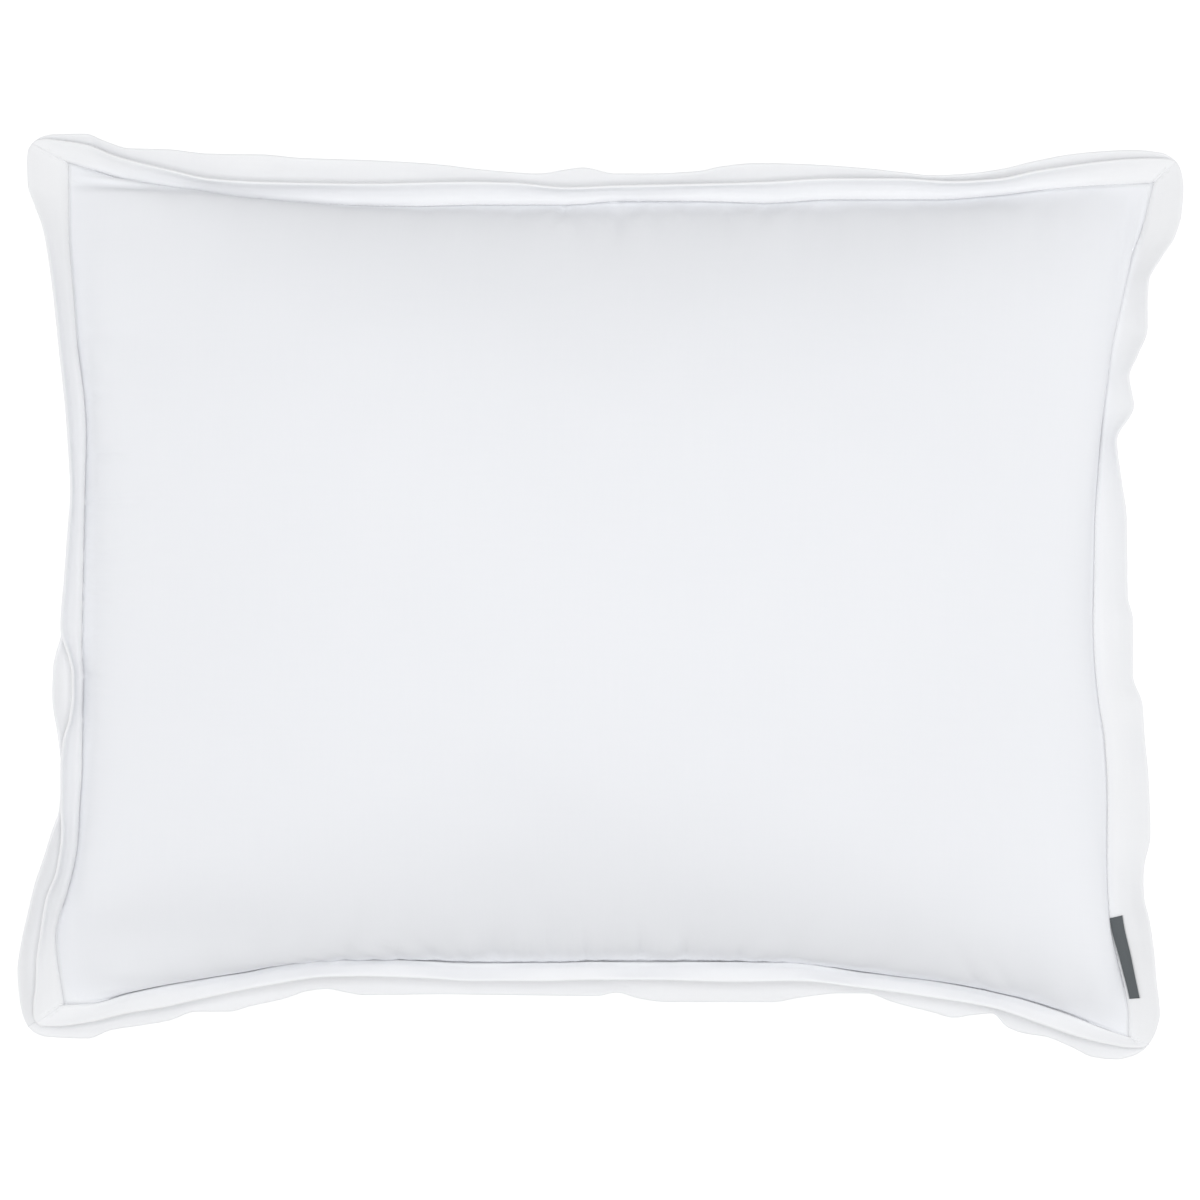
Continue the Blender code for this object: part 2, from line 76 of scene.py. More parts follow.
# The seam as seen from above: (along, across) for each side, in millimetres.
SEAM = {
    "top": [(-305.5, 249), (-287.5, 244), (-271.5, 238), (-257.5, 234), (-230, 230), (-207, 227), (-172.5, 225.5), (-111, 224), (-65, 225), (-19, 225), (11, 227), (57, 227), (95.5, 226), (133.5, 228), (191, 228), (229.5, 230.5), (258, 234), (287, 236.2), (317.5, 237.5)],
    "bottom": [(-308, -234), (-292, -233.5), (-271.5, -228), (-247.5, -222.5), (-218.5, -218), (-201.5, -215.5), (-181.5, -211.5), (-155.5, -209.6), (-125, -209.2), (-102, -209.4), (-71, -210.4), (-48, -210.8), (-25, -210.8), (0, -209.7), (45.5, -209.6), (76, -210), (107, -210.9), (130, -213), (153, -216.5), (172, -219), (201, -222.5), (228.5, -228), (241, -231), (255, -235.2), (268.5, -239.8), (282.5, -245.5), (303, -253.6)],
    "left": [(-234, -308), (-195, -313), (-186, -311.5), (-172, -307), (-157, -303), (-143.5, -300.5), (-117, -299), (-103, -298), (-66.5, -297.5), (-45.5, -297), (-29.5, -298), (23.5, -297), (69, -296), (94.5, -295.5), (117.5, -297), (129, -298.5), (149.5, -301), (170.5, -302.5), (182, -303.5), (213, -305.5), (249, -305.5)],
    "right": [(-253.6, 303), (-242, 303.4), (-231, 302.2), (-209, 297.2), (-186, 292.2), (-151.5, 291), (-117, 291.2), (-82.5, 289.5), (-59.5, 286), (-36.5, 283.8), (-13.5, 283), (9.5, 283.5), (41.5, 284), (74, 286), (106, 288), (141.5, 291), (164.5, 296), (189.5, 302.5), (209, 310.5), (237.5, 317.5)],
}
# The outer folds of the front flange and of the back one, in the same way. Their ends are the corners' tips.
FRONT_FOLD = {
    "top": [(-325.8, 259.8), (-323, 261.8), (-318, 262.4), (-310.5, 261.5), (-295.5, 259), (-280.5, 253), (-267, 249), (-247.5, 244.5), (-224.5, 239.5), (-194.5, 237.5), (-172.5, 237), (-134, 236.5), (-78, 237.5), (-50.5, 237), (-19, 234.5), (11, 235.5), (57, 236.5), (95.5, 237.5), (133.5, 239.5), (172, 239.5), (201, 238), (229.5, 239.5), (248.5, 243.5), (268, 246.5), (287, 249), (305, 250.6), (318, 251), (326, 250.6), (330, 249.2)],
    "bottom": [(-323.5, -244.5), (-320, -246.4), (-313, -246.4), (-294.5, -244), (-271.5, -238.5), (-253, -235.5), (-232.5, -231), (-201.5, -224.5), (-187.5, -222), (-157, -218.5), (-134, -217.5), (-102, -218.5), (-70, -220.5), (-33, -220.5), (-5.5, -219.5), (28.5, -219.5), (68.5, -220.5), (109, -221), (153, -224.5), (189.5, -229.5), (225, -235.5), (252.5, -244.5), (275.5, -252.5), (292, -256.6), (305, -258.6), (310.5, -258.6), (314, -257)],
    "left": [(-244.5, -323.5), (-241, -324.9), (-235, -325), (-223.2, -323.7), (-208.8, -323.2), (-195.6, -321.4), (-174.4, -318), (-157, -311.7), (-134, -309), (-121.5, -309.5), (-98.5, -309.5), (-82.5, -308), (-70, -304.5), (-57, -303), (-45, -303), (-35, -305), (-18, -309.5), (9.5, -307.5), (37, -305.5), (60, -304), (83, -305), (110.5, -307), (143, -310.5), (176, -314), (198, -317), (211.5, -319.5), (225.5, -324.5), (236, -328), (250, -328.6), (256, -328), (259.8, -325.8)],
    "right": [(-257, 314), (-253, 316.6), (-247, 319), (-240, 320.4), (-220.5, 318.5), (-203, 317), (-186, 314.5), (-173, 311.5), (-163, 311), (-155, 311.5), (-137.5, 315), (-105.5, 314), (-78, 311.5), (-62, 310.5), (-45.5, 305), (-13.5, 305), (0.5, 302), (44, 301.5), (67, 298.5), (90, 296), (109.5, 305.5), (126.5, 303), (138, 307.5), (154.5, 313.5), (166.5, 313.5), (180, 314), (195, 321.5), (206.5, 329), (220.5, 333), (235.5, 334), (243, 333), (247, 331.6), (249.2, 330)],
}
BACK_FOLD = {
    "top": [(-325.8, 259.8), (-321.5, 263), (-314.5, 264.8), (-305.5, 265), (-295.5, 265), (-285, 261), (-270.5, 256.5), (-249.5, 256), (-225.5, 253.5), (-195.5, 253), (-172.5, 251), (-128.5, 249.5), (-96, 247.5), (-65, 244), (-35, 242), (-19, 244.5), (-10, 245.5), (8.5, 242), (26.5, 242), (57, 243.5), (68.5, 246), (90, 248), (114.5, 247.5), (153, 245), (176, 242.5), (191, 241), (210.5, 242), (229.5, 244.5), (248.5, 249), (273.5, 253.5), (306, 255.6), (321.5, 254.2), (327, 251.8), (330, 249.2)],
    "bottom": [(-328, -246.5), (-324.5, -249.8), (-318.5, -252), (-294.5, -253), (-280.5, -248), (-264.5, -245.5), (-247.5, -242.5), (-232.5, -237.5), (-213, -237.5), (-201.5, -234.5), (-181.5, -230), (-167.5, -225.5), (-157, -224.5), (-146, -226.5), (-135.5, -228), (-94, -227.5), (-48, -228), (-2, -228.5), (9, -226.5), (22.5, -230), (38, -232), (68.5, -232), (99, -232), (114.5, -229.5), (137.5, -227), (153, -227), (168, -232), (191, -238), (203, -241), (213.5, -239.5), (225, -238.5), (234, -246.5), (243.5, -250), (256, -252), (271, -258), (282.5, -263.5), (296, -265), (305, -263.2), (310.5, -260.4), (314, -257)],
    "left": [(-246.5, -328), (-243, -330), (-238, -331.6), (-229.5, -333), (-214.5, -334), (-199.5, -332), (-181.5, -328), (-166.5, -324.5), (-151.5, -319.5), (-134, -314), (-121.5, -310), (-98.5, -309), (-82.5, -310.5), (-57, -314), (-41, -313.5), (-18, -308), (9.5, -305.5), (37, -303.5), (60, -302.5), (83, -303), (110, -304.5), (143, -308), (176, -311), (198, -313.5), (225, -320), (248, -327), (255, -327.4), (259.8, -325.8)],
    "right": [(-257, 314), (-252, 315.4), (-245, 316.3), (-238, 317), (-220.5, 315), (-203, 313.5), (-186, 311), (-163, 308), (-137.5, 311), (-105.5, 310), (-78, 308), (-45.5, 302.5), (-13.5, 302), (44, 299), (90, 294), (109.5, 301), (138, 304), (166.5, 310), (195, 317), (220.5, 329), (235.5, 332.4), (243, 332.4), (249.2, 330)],
}
# How far each fold stands above its seam along the middle of the side, and at the corners' tips.
FLANGE_WIDTH = 0.0254
BACK_RISE = {"top": 0.0055, "bottom": 0.0005, "left": 0.0060, "right": 0.0025}
FRONT_STANDS = {"top": 0.46, "bottom": 0.46, "left": 0.38, "right": 0.32}
FRONT_CUP = {"top": 0.0018, "bottom": -0.0014, "left": 0.0014, "right": 0.0006}
FRONT_TIP_RISE, BACK_TIP_RISE = 0.0040, 0.0026
OUT = {"top": (0, 1), "bottom": (0, -1), "left": (-1, 0), "right": (1, 0)}
LENGTHWISE = {"top": 0, "bottom": 0, "left": 1, "right": 1}


# ---------------------------------------------------------------- curves
def through(points):
    """A smooth curve through these points, which never overshoots them."""
    points = np.array(points, float)
    x, y = points[:, 0], points[:, 1]
    step, rise = np.diff(x), np.diff(y)
    slope = rise / step
    tangent = np.empty_like(y)
    tangent[0], tangent[-1] = slope[0], slope[-1]
    before, after = slope[:-1], slope[1:]
    w1, w2 = 2 * step[1:] + step[:-1], step[1:] + 2 * step[:-1]
    same = before * after > 0
    tangent[1:-1] = np.where(same, (w1 + w2) / (w1 / np.where(same, before, 1) + w2 / np.where(same, after, 1)), 0)

    def at(q):
        q = np.clip(np.asarray(q, float), x[0], x[-1])
        k = np.clip(np.searchsorted(x, q, side="right") - 1, 0, len(x) - 2)
        h = step[k]
        t = (q - x[k]) / h
        return (
            (2 * t**3 - 3 * t**2 + 1) * y[k]
            + (t**3 - 2 * t**2 + t) * h * tangent[k]
            + (3 * t**2 - 2 * t**3) * y[k + 1]
            + (t**3 - t**2) * h * tangent[k + 1]
        )

    return at


def smooth(x):
    x = np.clip(x, 0.0, 1.0)
    return x * x * (3 - 2 * x)


def along_middle(u):
    """0 at both ends of a side and 1 along its middle."""
    return 1 - np.abs(2 * np.asarray(u, float) - 1) ** 3


def seen_at(x_mm, y_mm, z):
    """The point at height z that the eye above sees at these millimetres in the seam's plane."""
    nearer = (EYE - (z - SEAM_Z)) / EYE
    return np.stack([MIDDLE_X + x_mm * MM_X * nearer, MIDDLE_Y + y_mm * MM_Y * nearer, z + 0 * x_mm], -1)


seam_curve = {side: through(p) for side, p in SEAM.items()}
front_curve = {side: through(p) for side, p in FRONT_FOLD.items()}
back_curve = {side: through(p) for side, p in BACK_FOLD.items()}


def seam(side, u):
    """Points of the front panel's seam at the shares u along a side, from left to right or from bottom to top."""
    u = np.asarray(u, float)
    first, last = SEAM[side][0][0], SEAM[side][-1][0]
    along = first + u * (last - first)
    across = seam_curve[side](along)
    z = SEAM_Z - CORNER_DROP * (1 - along_middle(u))
    return seen_at(along, across, z) if LENGTHWISE[side] == 0 else seen_at(across, along, z)


hinge = next(j for j in frame["joints"] if j["name"] == "pull_hinge")
slide = next(j for j in frame["joints"] if j["name"] == "zip_slide")
ZIP_ACROSS = -np.array(hinge["axis"], float)  # towards the front panel
ZIP_OUT = np.cross([1.0, 0, 0], ZIP_ACROSS) * -1
ZIP_OUT = ZIP_OUT if ZIP_OUT[2] > 0 else -ZIP_OUT
chain_low, chain_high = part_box("zipper_coil_front")
other_low, other_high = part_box("zipper_coil_back")
ZIP_HALF_WIDTH = 0.0043
PIVOT = np.array(hinge["pos_m"], float)
ZIP_MIDDLE = PIVOT - ZIP_OUT * 0.00275
ZIP_OFFSET = -2 * ZIP_HALF_WIDTH * ZIP_ACROSS
SEAM_GAP = 0.0034  # the two seams and the folded cloth between them
tape_low, tape_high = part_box("zipper_tape_front")
BOTTOM_FROM, BOTTOM_TO = SEAM["bottom"][0][0] * 0.001, SEAM["bottom"][-1][0] * 0.001
ZIP_SHARES = [(x - BOTTOM_FROM) / (BOTTOM_TO - BOTTOM_FROM) for x in (tape_low.x, tape_high.x)]


def zip_opening(u):
    return smooth((u - ZIP_SHARES[0] + 0.10) / 0.10) * smooth((ZIP_SHARES[1] + 0.10 - u) / 0.10)


def back_seam(side, u):
    """The back panel's edge: under the front one's, and further from it where the zip lies between them."""
    points = seam(side, u)
    opening = (zip_opening(np.asarray(u, float)) if side == "bottom" else 0.0 * np.asarray(u, float))[..., None]
    return points + opening * ZIP_OFFSET - (1 - opening) * np.array([0, 0, SEAM_GAP])


def coons(edge_of, s, t):
    """The surface stretched across the four sides of an edge: s runs from left to right and t from bottom to top."""
    bottom, top = edge_of("bottom", s)[:, None, :], edge_of("top", s)[:, None, :]
    left, right = edge_of("left", t)[None, :, :], edge_of("right", t)[None, :, :]
    s_, t_ = s[:, None, None], t[None, :, None]
    flat = (1 - t_) * bottom + t_ * top + (1 - s_) * left + s_ * right
    (bl, br), (tl, tr) = edge_of("bottom", [0, 1]), edge_of("top", [0, 1])
    flat -= (1 - s_) * (1 - t_) * bl + s_ * (1 - t_) * br + (1 - s_) * t_ * tl + s_ * t_ * tr
    droop = (1 - along_middle(s))[:, None] * (1 - along_middle(t))[None, :]
    z = SEAM_Z - CORNER_DROP * droop
    if edge_of is back_seam:
        z = z + ZIP_OFFSET[2] * zip_opening(s)[:, None] * (1 - t)[None, :]
    flat[..., 2] = z
    return flat


# ---------------------------------------------------------------- meshes
def normals(grid):
    a, b = np.gradient(grid, axis=0), np.gradient(grid, axis=1)
    n = np.cross(a, b)
    return n / np.maximum(np.linalg.norm(n, axis=-1, keepdims=True), 1e-12)


def finer(grid, times=2):
    """The grid with this many cells for each one, on smooth curves through its points."""
    for axis in (0, 1):
        grid = np.moveaxis(grid, axis, 0)
        count = len(grid)
        ends = np.concatenate([[2 * grid[0] - grid[1]], grid, [2 * grid[-1] - grid[-2]]])
        q = np.linspace(0, count - 1, (count - 1) * times + 1)
        k = np.minimum(q.astype(int), count - 2)
        t = (q - k).reshape((-1,) + (1,) * (grid.ndim - 1))
        p0, p1, p2, p3 = ends[k], ends[k + 1], ends[k + 2], ends[k + 3]
        grid = 0.5 * (2 * p1 + (p2 - p0) * t + (2 * p0 - 5 * p1 + 4 * p2 - p3) * t**2 + (3 * p1 - p0 - 3 * p2 + p3) * t**3)
        grid = np.moveaxis(grid, 0, axis)
    return grid


def blurred(grid, times):
    """The grid with its wrinkles smoothed, its border kept."""
    grid = grid.copy()
    for _ in range(times):
        inner = grid[1:-1, 1:-1]
        grid[1:-1, 1:-1] = inner * 0.5 + 0.125 * (grid[:-2, 1:-1] + grid[2:, 1:-1] + grid[1:-1, :-2] + grid[1:-1, 2:])
    return grid


def new_object(name, verts, faces, flat=None):
    """The named mesh object, turned outwards, with its place on the flat cloth kept for the weave."""
    mesh = bpy.data.meshes.new(name)
    mesh.from_pydata(np.asarray(verts, float).tolist(), [], [tuple(int(i) for i in f) for f in faces])
    mesh.update()
    if flat is not None:
        kept = mesh.attributes.new("flat", "FLOAT_VECTOR", "POINT")
        kept.data.foreach_set("vector", np.asarray(flat, np.float32).ravel())
    bm = bmesh.new()
    bm.from_mesh(mesh)
    bmesh.ops.recalc_face_normals(bm, faces=bm.faces)
    bm.to_mesh(mesh)
    bm.free()
    mesh.shade_smooth()
    obj = bpy.data.objects.new(name, mesh)
    scene.collection.objects.link(obj)
    return obj


def quads(rows, columns, start=0, flip=False):
    index = start + np.arange(rows * columns).reshape(rows, columns)
    a, b, c, d = index[:-1, :-1], index[1:, :-1], index[1:, 1:], index[:-1, 1:]
    faces = np.stack([a, b, c, d], -1).reshape(-1, 4)
    return faces[:, ::-1] if flip else faces


def rim(rows, columns):
    index = np.arange(rows * columns).reshape(rows, columns)
    return np.concatenate([index[:, 0], index[-1, 1:], index[-2::-1, -1], index[0, -2:0:-1]])


def closed_sheet(name, upper, lower, flat):
    """A closed shell between two grids of the same size."""
    rows, columns = upper.shape[:2]
    count = rows * columns
    edge = rim(rows, columns)
    after = np.roll(edge, -1)
    sides = np.stack([edge, edge + count, after + count, after], -1)
    faces = np.concatenate([quads(rows, columns), quads(rows, columns, count, True), sides])
    verts = np.concatenate([upper.reshape(-1, 3), lower.reshape(-1, 3)])
    return new_object(name, verts, faces, np.concatenate([flat.reshape(-1, 3)] * 2))


def loft(name, sections, flat=None):
    """A closed solid through closed sections, all with the same number of points, capped at both ends."""
    count, around = sections.shape[:2]
    faces = []
    for k in range(count - 1):
        base = k * around
        for q in range(around):
            r = (q + 1) % around
            faces.append((base + q, base + r, base + around + r, base + around + q))
    half = around // 2
    for k in (0, count - 1):
        base = k * around
        for q in range(half - 1 + around % 2):
            a, b, c, d = q, q + 1, around - 2 - q, around - 1 - q
            face = [base + a, base + b, base + c, base + d]
            faces.append(tuple(dict.fromkeys(face)))
    return new_object(name, sections.reshape(-1, 3), faces, None if flat is None else flat.reshape(-1, 3))


def tubes(name, paths, radius, sides=6, taper=True, flat_scale=1.0):
    """One mesh of round strands along these paths, each closed at both ends."""
    verts, faces, flats = [], [], []
    turn = np.linspace(0, 2 * np.pi, sides, endpoint=False)
    for path in paths:
        path = np.asarray(path, float)
        tangent = np.gradient(path, axis=0)
        tangent /= np.maximum(np.linalg.norm(tangent, axis=1, keepdims=True), 1e-12)
        first = np.cross(tangent, [0.03, 0.02, 1.0])
        first /= np.maximum(np.linalg.norm(first, axis=1, keepdims=True), 1e-9)
        second = np.cross(tangent, first)
        far = np.linalg.norm(np.diff(path, axis=0), axis=1)
        walked = np.concatenate([[0], np.cumsum(far)])
        size = np.full(len(path), radius)
        if taper:
            size[0] = size[-1] = radius * 0.55
        base = len(verts)
        start = base
        for k in range(len(path)):
            for a in turn:
                verts.append(path[k] + size[k] * (math.cos(a) * first[k] + math.sin(a) * second[k]))
                flats.append((walked[k] * flat_scale, a * radius, 0))
        for k in range(len(path) - 1):
            for q in range(sides):
                r = (q + 1) % sides
                faces.append((start + k * sides + q, start + k * sides + r, start + (k + 1) * sides + r, start + (k + 1) * sides + q))
        faces.append(tuple(range(start, start + sides)))
        faces.append(tuple(range(start + (len(path) - 1) * sides, start + len(path) * sides)))
    return new_object(name, verts, faces, flats)


# ---------------------------------------------------------------- materials
class Nodes:
    """Short names for making a material's nodes."""

    def __init__(self, name):
        self.material = bpy.data.materials.new(name)
        self.material.use_nodes = True
        self.tree = self.material.node_tree
        self.shader = self.tree.nodes["Principled BSDF"]

    def add(self, kind, **values):
        node = self.tree.nodes.new(kind)
        for key, value in values.items():
            setattr(node, key, value)
        return node

    def set(self, socket, value):
        if isinstance(value, bpy.types.NodeSocket):
            self.tree.links.new(value, socket)
        else:
            socket.default_value = value

    def math(self, operation, a, b=0.0, clamp=False):
        node = self.add("ShaderNodeMath", operation=operation, use_clamp=clamp)
        self.set(node.inputs[0], a)
        self.set(node.inputs[1], b)
        return node.outputs[0]

    def scaled(self, vector, scale, offset=(0, 0, 0)):
        node = self.add("ShaderNodeMapping")
        self.set(node.inputs["Vector"], vector)
        node.inputs["Location"].default_value = offset
        node.inputs["Scale"].default_value = scale
        return node.outputs[0]

    def noise(self, vector, scale, detail=2.0, rough=0.5):
        node = self.add("ShaderNodeTexNoise")
        self.set(node.inputs["Vector"], vector)
        node.inputs["Scale"].default_value = scale
        node.inputs["Detail"].default_value = detail
        node.inputs["Roughness"].default_value = rough
        return node.outputs["Fac"]

    def mix(self, factor, a, b):
        node = self.add("ShaderNodeMix", data_type="RGBA")
        self.set(node.inputs[0], factor)
        self.set(node.inputs[6], a)
        self.set(node.inputs[7], b)
        return node.outputs[2]

    def spread(self, value, low, high):
        node = self.add("ShaderNodeMapRange")
        self.set(node.inputs[0], value)
        node.inputs[1].default_value, node.inputs[2].default_value = 0.0, 1.0
        node.inputs[3].default_value, node.inputs[4].default_value = low, high
        return node.outputs[0]

    def bump(self, height, distance, strength, normal=None):
        node = self.add("ShaderNodeBump")
        self.set(node.inputs["Height"], height)
        node.inputs["Distance"].default_value = distance
        node.inputs["Strength"].default_value = strength
        if normal is not None:
            self.set(node.inputs["Normal"], normal)
        return node.outputs[0]


def plain_weave(n, x, y, pitch):
    """The height of a plain weave, 0 to 1: threads along x and along y, over and under one another in turn."""
    warp = n.math("SINE", n.math("MULTIPLY", x, math.pi / pitch))
    weft = n.math("SINE", n.math("MULTIPLY", y, math.pi / pitch))
    over = n.math("GREATER_THAN", n.math("MULTIPLY", warp, weft), 0.0)
    warp, weft = n.math("ABSOLUTE", warp), n.math("ABSOLUTE", weft)
    warp_round, weft_round = n.math("POWER", warp, 0.6), n.math("POWER", weft, 0.6)
    up = n.math("MULTIPLY", warp_round, n.math("ADD", n.math("MULTIPLY", weft, 0.45), 0.55))
    down = n.math("MULTIPLY", weft_round, n.math("ADD", n.math("MULTIPLY", warp, 0.45), 0.55))
    picked = n.add("ShaderNodeMix", data_type="FLOAT")
    n.set(picked.inputs[0], over)
    n.set(picked.inputs[2], down)
    n.set(picked.inputs[3], up)
    return picked.outputs[0]


def linen(name, light, dark, pitch=0.00052, relief=0.00010, strength=0.35, sheen=0.12, rumple=0.00035):
    """Washed linen: a plain weave of uneven threads, with slubs, a soft fuzz and a faint unevenness of tone."""
    n = Nodes(name)
    place = n.add("ShaderNodeAttribute", attribute_name="flat").outputs["Vector"]
    wander = n.math("MULTIPLY", n.math("SUBTRACT", n.noise(place, 55.0, 3.0), 0.5), 0.0022)
    split = n.add("ShaderNodeSeparateXYZ")
    n.set(split.inputs[0], place)
    x, y = n.math("ADD", split.outputs[0], wander), n.math("ADD", split.outputs[1], wander)
    weave = plain_weave(n, x, y, pitch)
    slub_x = n.noise(n.scaled(place, (22.0, 900.0, 1.0)), 1.0, 2.0)
    slub_y = n.noise(n.scaled(place, (900.0, 22.0, 1.0), (3.1, 7.7, 0)), 1.0, 2.0)
    slub = n.math("MULTIPLY", n.math("ADD", slub_x, slub_y), 0.5)
    fuzz = n.noise(place, 2600.0, 2.0, 0.7)
    tone = n.noise(place, 9.0, 3.0)
    shade = n.math("ADD", n.math("MULTIPLY", weave, 0.34), n.math("MULTIPLY", slub, 0.46))
    shade = n.math("ADD", shade, n.math("MULTIPLY", tone, 0.28), clamp=True)
    n.set(n.shader.inputs["Base Color"], n.mix(shade, (*dark, 1), (*light, 1)))
    rough = n.spread(slub, 0.98, 0.86)
    n.set(n.shader.inputs["Roughness"], rough)
    height = n.math("ADD", n.math("MULTIPLY", weave, 0.62), n.math("MULTIPLY", slub, 0.7))
    height = n.math("ADD", height, n.math("MULTIPLY", fuzz, 0.18))
    worn = n.bump(n.noise(place, 26.0, 3.0, 0.55), rumple, 0.55)
    n.set(n.shader.inputs["Normal"], n.bump(height, relief, strength, worn))
    n.shader.inputs["Specular IOR Level"].default_value = 0.18
    n.shader.inputs["Sheen Weight"].default_value = sheen
    n.shader.inputs["Sheen Roughness"].default_value = 0.6
    return n.material


def spun(name, light, dark, pitch=0.0006, rough=0.6, sheen=0.1):
    """A twisted thread or cord: ply lines that run round it."""
    n = Nodes(name)
    place = n.add("ShaderNodeAttribute", attribute_name="flat").outputs["Vector"]
    split = n.add("ShaderNodeSeparateXYZ")
    n.set(split.inputs[0], place)
    turn = n.math("ADD", n.math("MULTIPLY", split.outputs[0], 2 * math.pi / pitch), n.math("MULTIPLY", split.outputs[1], 3.0 / pitch))
    ply = n.math("ABSOLUTE", n.math("SINE", turn))
    hairs = n.noise(place, 3000.0, 2.0)
    shade = n.math("ADD", n.math("MULTIPLY", ply, 0.7), n.math("MULTIPLY", hairs, 0.3), clamp=True)
    n.set(n.shader.inputs["Base Color"], n.mix(shade, (*dark, 1), (*light, 1)))
    n.shader.inputs["Roughness"].default_value = rough
    n.set(n.shader.inputs["Normal"], n.bump(shade, pitch * 0.2, 0.6))
    n.shader.inputs["Sheen Weight"].default_value = sheen
    return n.material


def twill(name, light, dark, pitch=0.00045, rough=0.8, relief=0.00008, herringbone=0.004):
    """Narrow tape: a twill whose diagonals turn back on themselves every few millimetres."""
    n = Nodes(name)
    place = n.add("ShaderNodeAttribute", attribute_name="flat").outputs["Vector"]
    split = n.add("ShaderNodeSeparateXYZ")
    n.set(split.inputs[0], place)
    zigzag = n.math("PINGPONG", split.outputs[1], herringbone)
    diagonal = n.math("ADD", split.outputs[0], zigzag)
    ribs = n.math("ABSOLUTE", n.math("SINE", n.math("MULTIPLY", diagonal, math.pi / pitch)))
    weft = n.math("ABSOLUTE", n.math("SINE", n.math("MULTIPLY", split.outputs[1], math.pi / (pitch * 0.7))))
    height = n.math("MULTIPLY", n.math("POWER", ribs, 0.5), n.math("ADD", n.math("MULTIPLY", weft, 0.3), 0.7))
    grain = n.noise(place, 900.0, 2.0)
    shade = n.math("ADD", n.math("MULTIPLY", height, 0.7), n.math("MULTIPLY", grain, 0.3), clamp=True)
    n.set(n.shader.inputs["Base Color"], n.mix(shade, (*dark, 1), (*light, 1)))
    n.set(n.shader.inputs["Roughness"], n.spread(grain, rough - 0.06, rough + 0.06))
    n.set(n.shader.inputs["Normal"], n.bump(height, relief, 0.5))
    n.shader.inputs["Sheen Weight"].default_value = 0.1
    return n.material


def tape_label(name, ground, thread, edge):
    """A narrow woven label: dense ribs across it, a light selvedge along both edges (across runs from 0 to 1)."""
    n = Nodes(name)
    place = n.add("ShaderNodeAttribute", attribute_name="flat").outputs["Vector"]
    split = n.add("ShaderNodeSeparateXYZ")
    n.set(split.inputs[0], place)
    along, across = split.outputs[0], split.outputs[1]
    ribs = n.math("ABSOLUTE", n.math("SINE", n.math("MULTIPLY", along, math.pi / 0.00030)))
    warp = n.math("ABSOLUTE", n.math("SINE", n.math("MULTIPLY", across, math.pi / 0.00022)))
    weave = n.math("MULTIPLY", n.math("POWER", ribs, 0.6), n.math("ADD", n.math("MULTIPLY", warp, 0.4), 0.6))
    grain = n.noise(place, 1500.0, 2.0)
    shade = n.math("ADD", n.math("MULTIPLY", weave, 0.55), n.math("MULTIPLY", grain, 0.45), clamp=True)
    ground_colour = n.mix(shade, (*ground, 1), (*thread, 1))
    middle = n.math("ABSOLUTE", n.math("SUBTRACT", across, 0.0049))
    border = n.math("GREATER_THAN", middle, 0.0043)
    n.set(n.shader.inputs["Base Color"], n.mix(border, ground_colour, (*edge, 1)))
    n.set(n.shader.inputs["Roughness"], n.spread(grain, 0.62, 0.8))
    n.set(n.shader.inputs["Normal"], n.bump(weave, 0.00006, 0.6))
    n.shader.inputs["Sheen Weight"].default_value = 0.08
    return n.material


def moulded(name, light, dark, rough, specks=300.0, metallic=0.0, coat=0.0):
    """Smooth plastic or lacquer with a faint mottle and fine handling marks."""
    n = Nodes(name)
    place = n.add("ShaderNodeTexCoord").outputs["Object"]
    mottle = n.noise(place, specks, 3.0)
    n.set(n.shader.inputs["Base Color"], n.mix(mottle, (*dark, 1), (*light, 1)))
    n.set(n.shader.inputs["Roughness"], n.spread(n.noise(place, specks * 6, 3.0), rough - 0.06, rough + 0.08))
    n.set(n.shader.inputs["Normal"], n.bump(n.noise(place, specks * 3, 2.0), 0.00002, 0.35))
    n.shader.inputs["Metallic"].default_value = metallic
    n.shader.inputs["Coat Weight"].default_value = coat
    return n.material


WHITE, PALE = (0.900, 0.911, 0.940), (0.845, 0.861, 0.897)
MATERIALS = {
    "linen_front": linen("linen_front", WHITE, PALE),
    "linen_back": linen("linen_back", (0.89, 0.902, 0.925), (0.835, 0.852, 0.882)),
    # The flanges' linen: the same cloth as the panels, its colour painted brighter to stand in for the light that the
    # thin double layer lets through.
    "linen_flange": linen("linen_flange", (0.915, 0.921, 0.934), (0.862, 0.870, 0.888), rumple=0.0006),
    "thread": spun("thread", (0.96, 0.965, 0.97), (0.89, 0.895, 0.90), rough=0.75, sheen=0.2),
    "label": tape_label("label", (0.060, 0.070, 0.076), (0.135, 0.150, 0.158), (0.62, 0.63, 0.64)),
    "care_label": twill("care_label", (0.90, 0.90, 0.90), (0.82, 0.82, 0.83), pitch=0.0003, rough=0.5, herringbone=1.0),
    "zip_tape": twill("zip_tape", (0.88, 0.88, 0.89), (0.74, 0.74, 0.76)),
    "zip_coil": moulded("zip_coil", (0.90, 0.90, 0.90), (0.84, 0.84, 0.85), 0.34),
    "zip_metal": moulded("zip_metal", (0.88, 0.88, 0.88), (0.82, 0.82, 0.83), 0.30, coat=0.4),
    "ticking": twill("ticking", (0.86, 0.86, 0.84), (0.78, 0.78, 0.76), pitch=0.00035, herringbone=1.0),
    "piping": spun("piping", (0.84, 0.84, 0.82), (0.74, 0.74, 0.72), pitch=0.0011, rough=0.85),
    "fill": linen("fill", (0.93, 0.92, 0.89), (0.84, 0.83, 0.80), pitch=0.004, relief=0.0012, strength=0.8, sheen=0.3),
}


def dress(obj, slot, body, *nodes):
    """Gives a piece its material, its body and the CAD nodes that it stands for."""
    obj.data.materials.clear()
    obj.data.materials.append(MATERIALS[slot])
    if nodes:
        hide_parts(*nodes)
    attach(obj, body)
    return obj


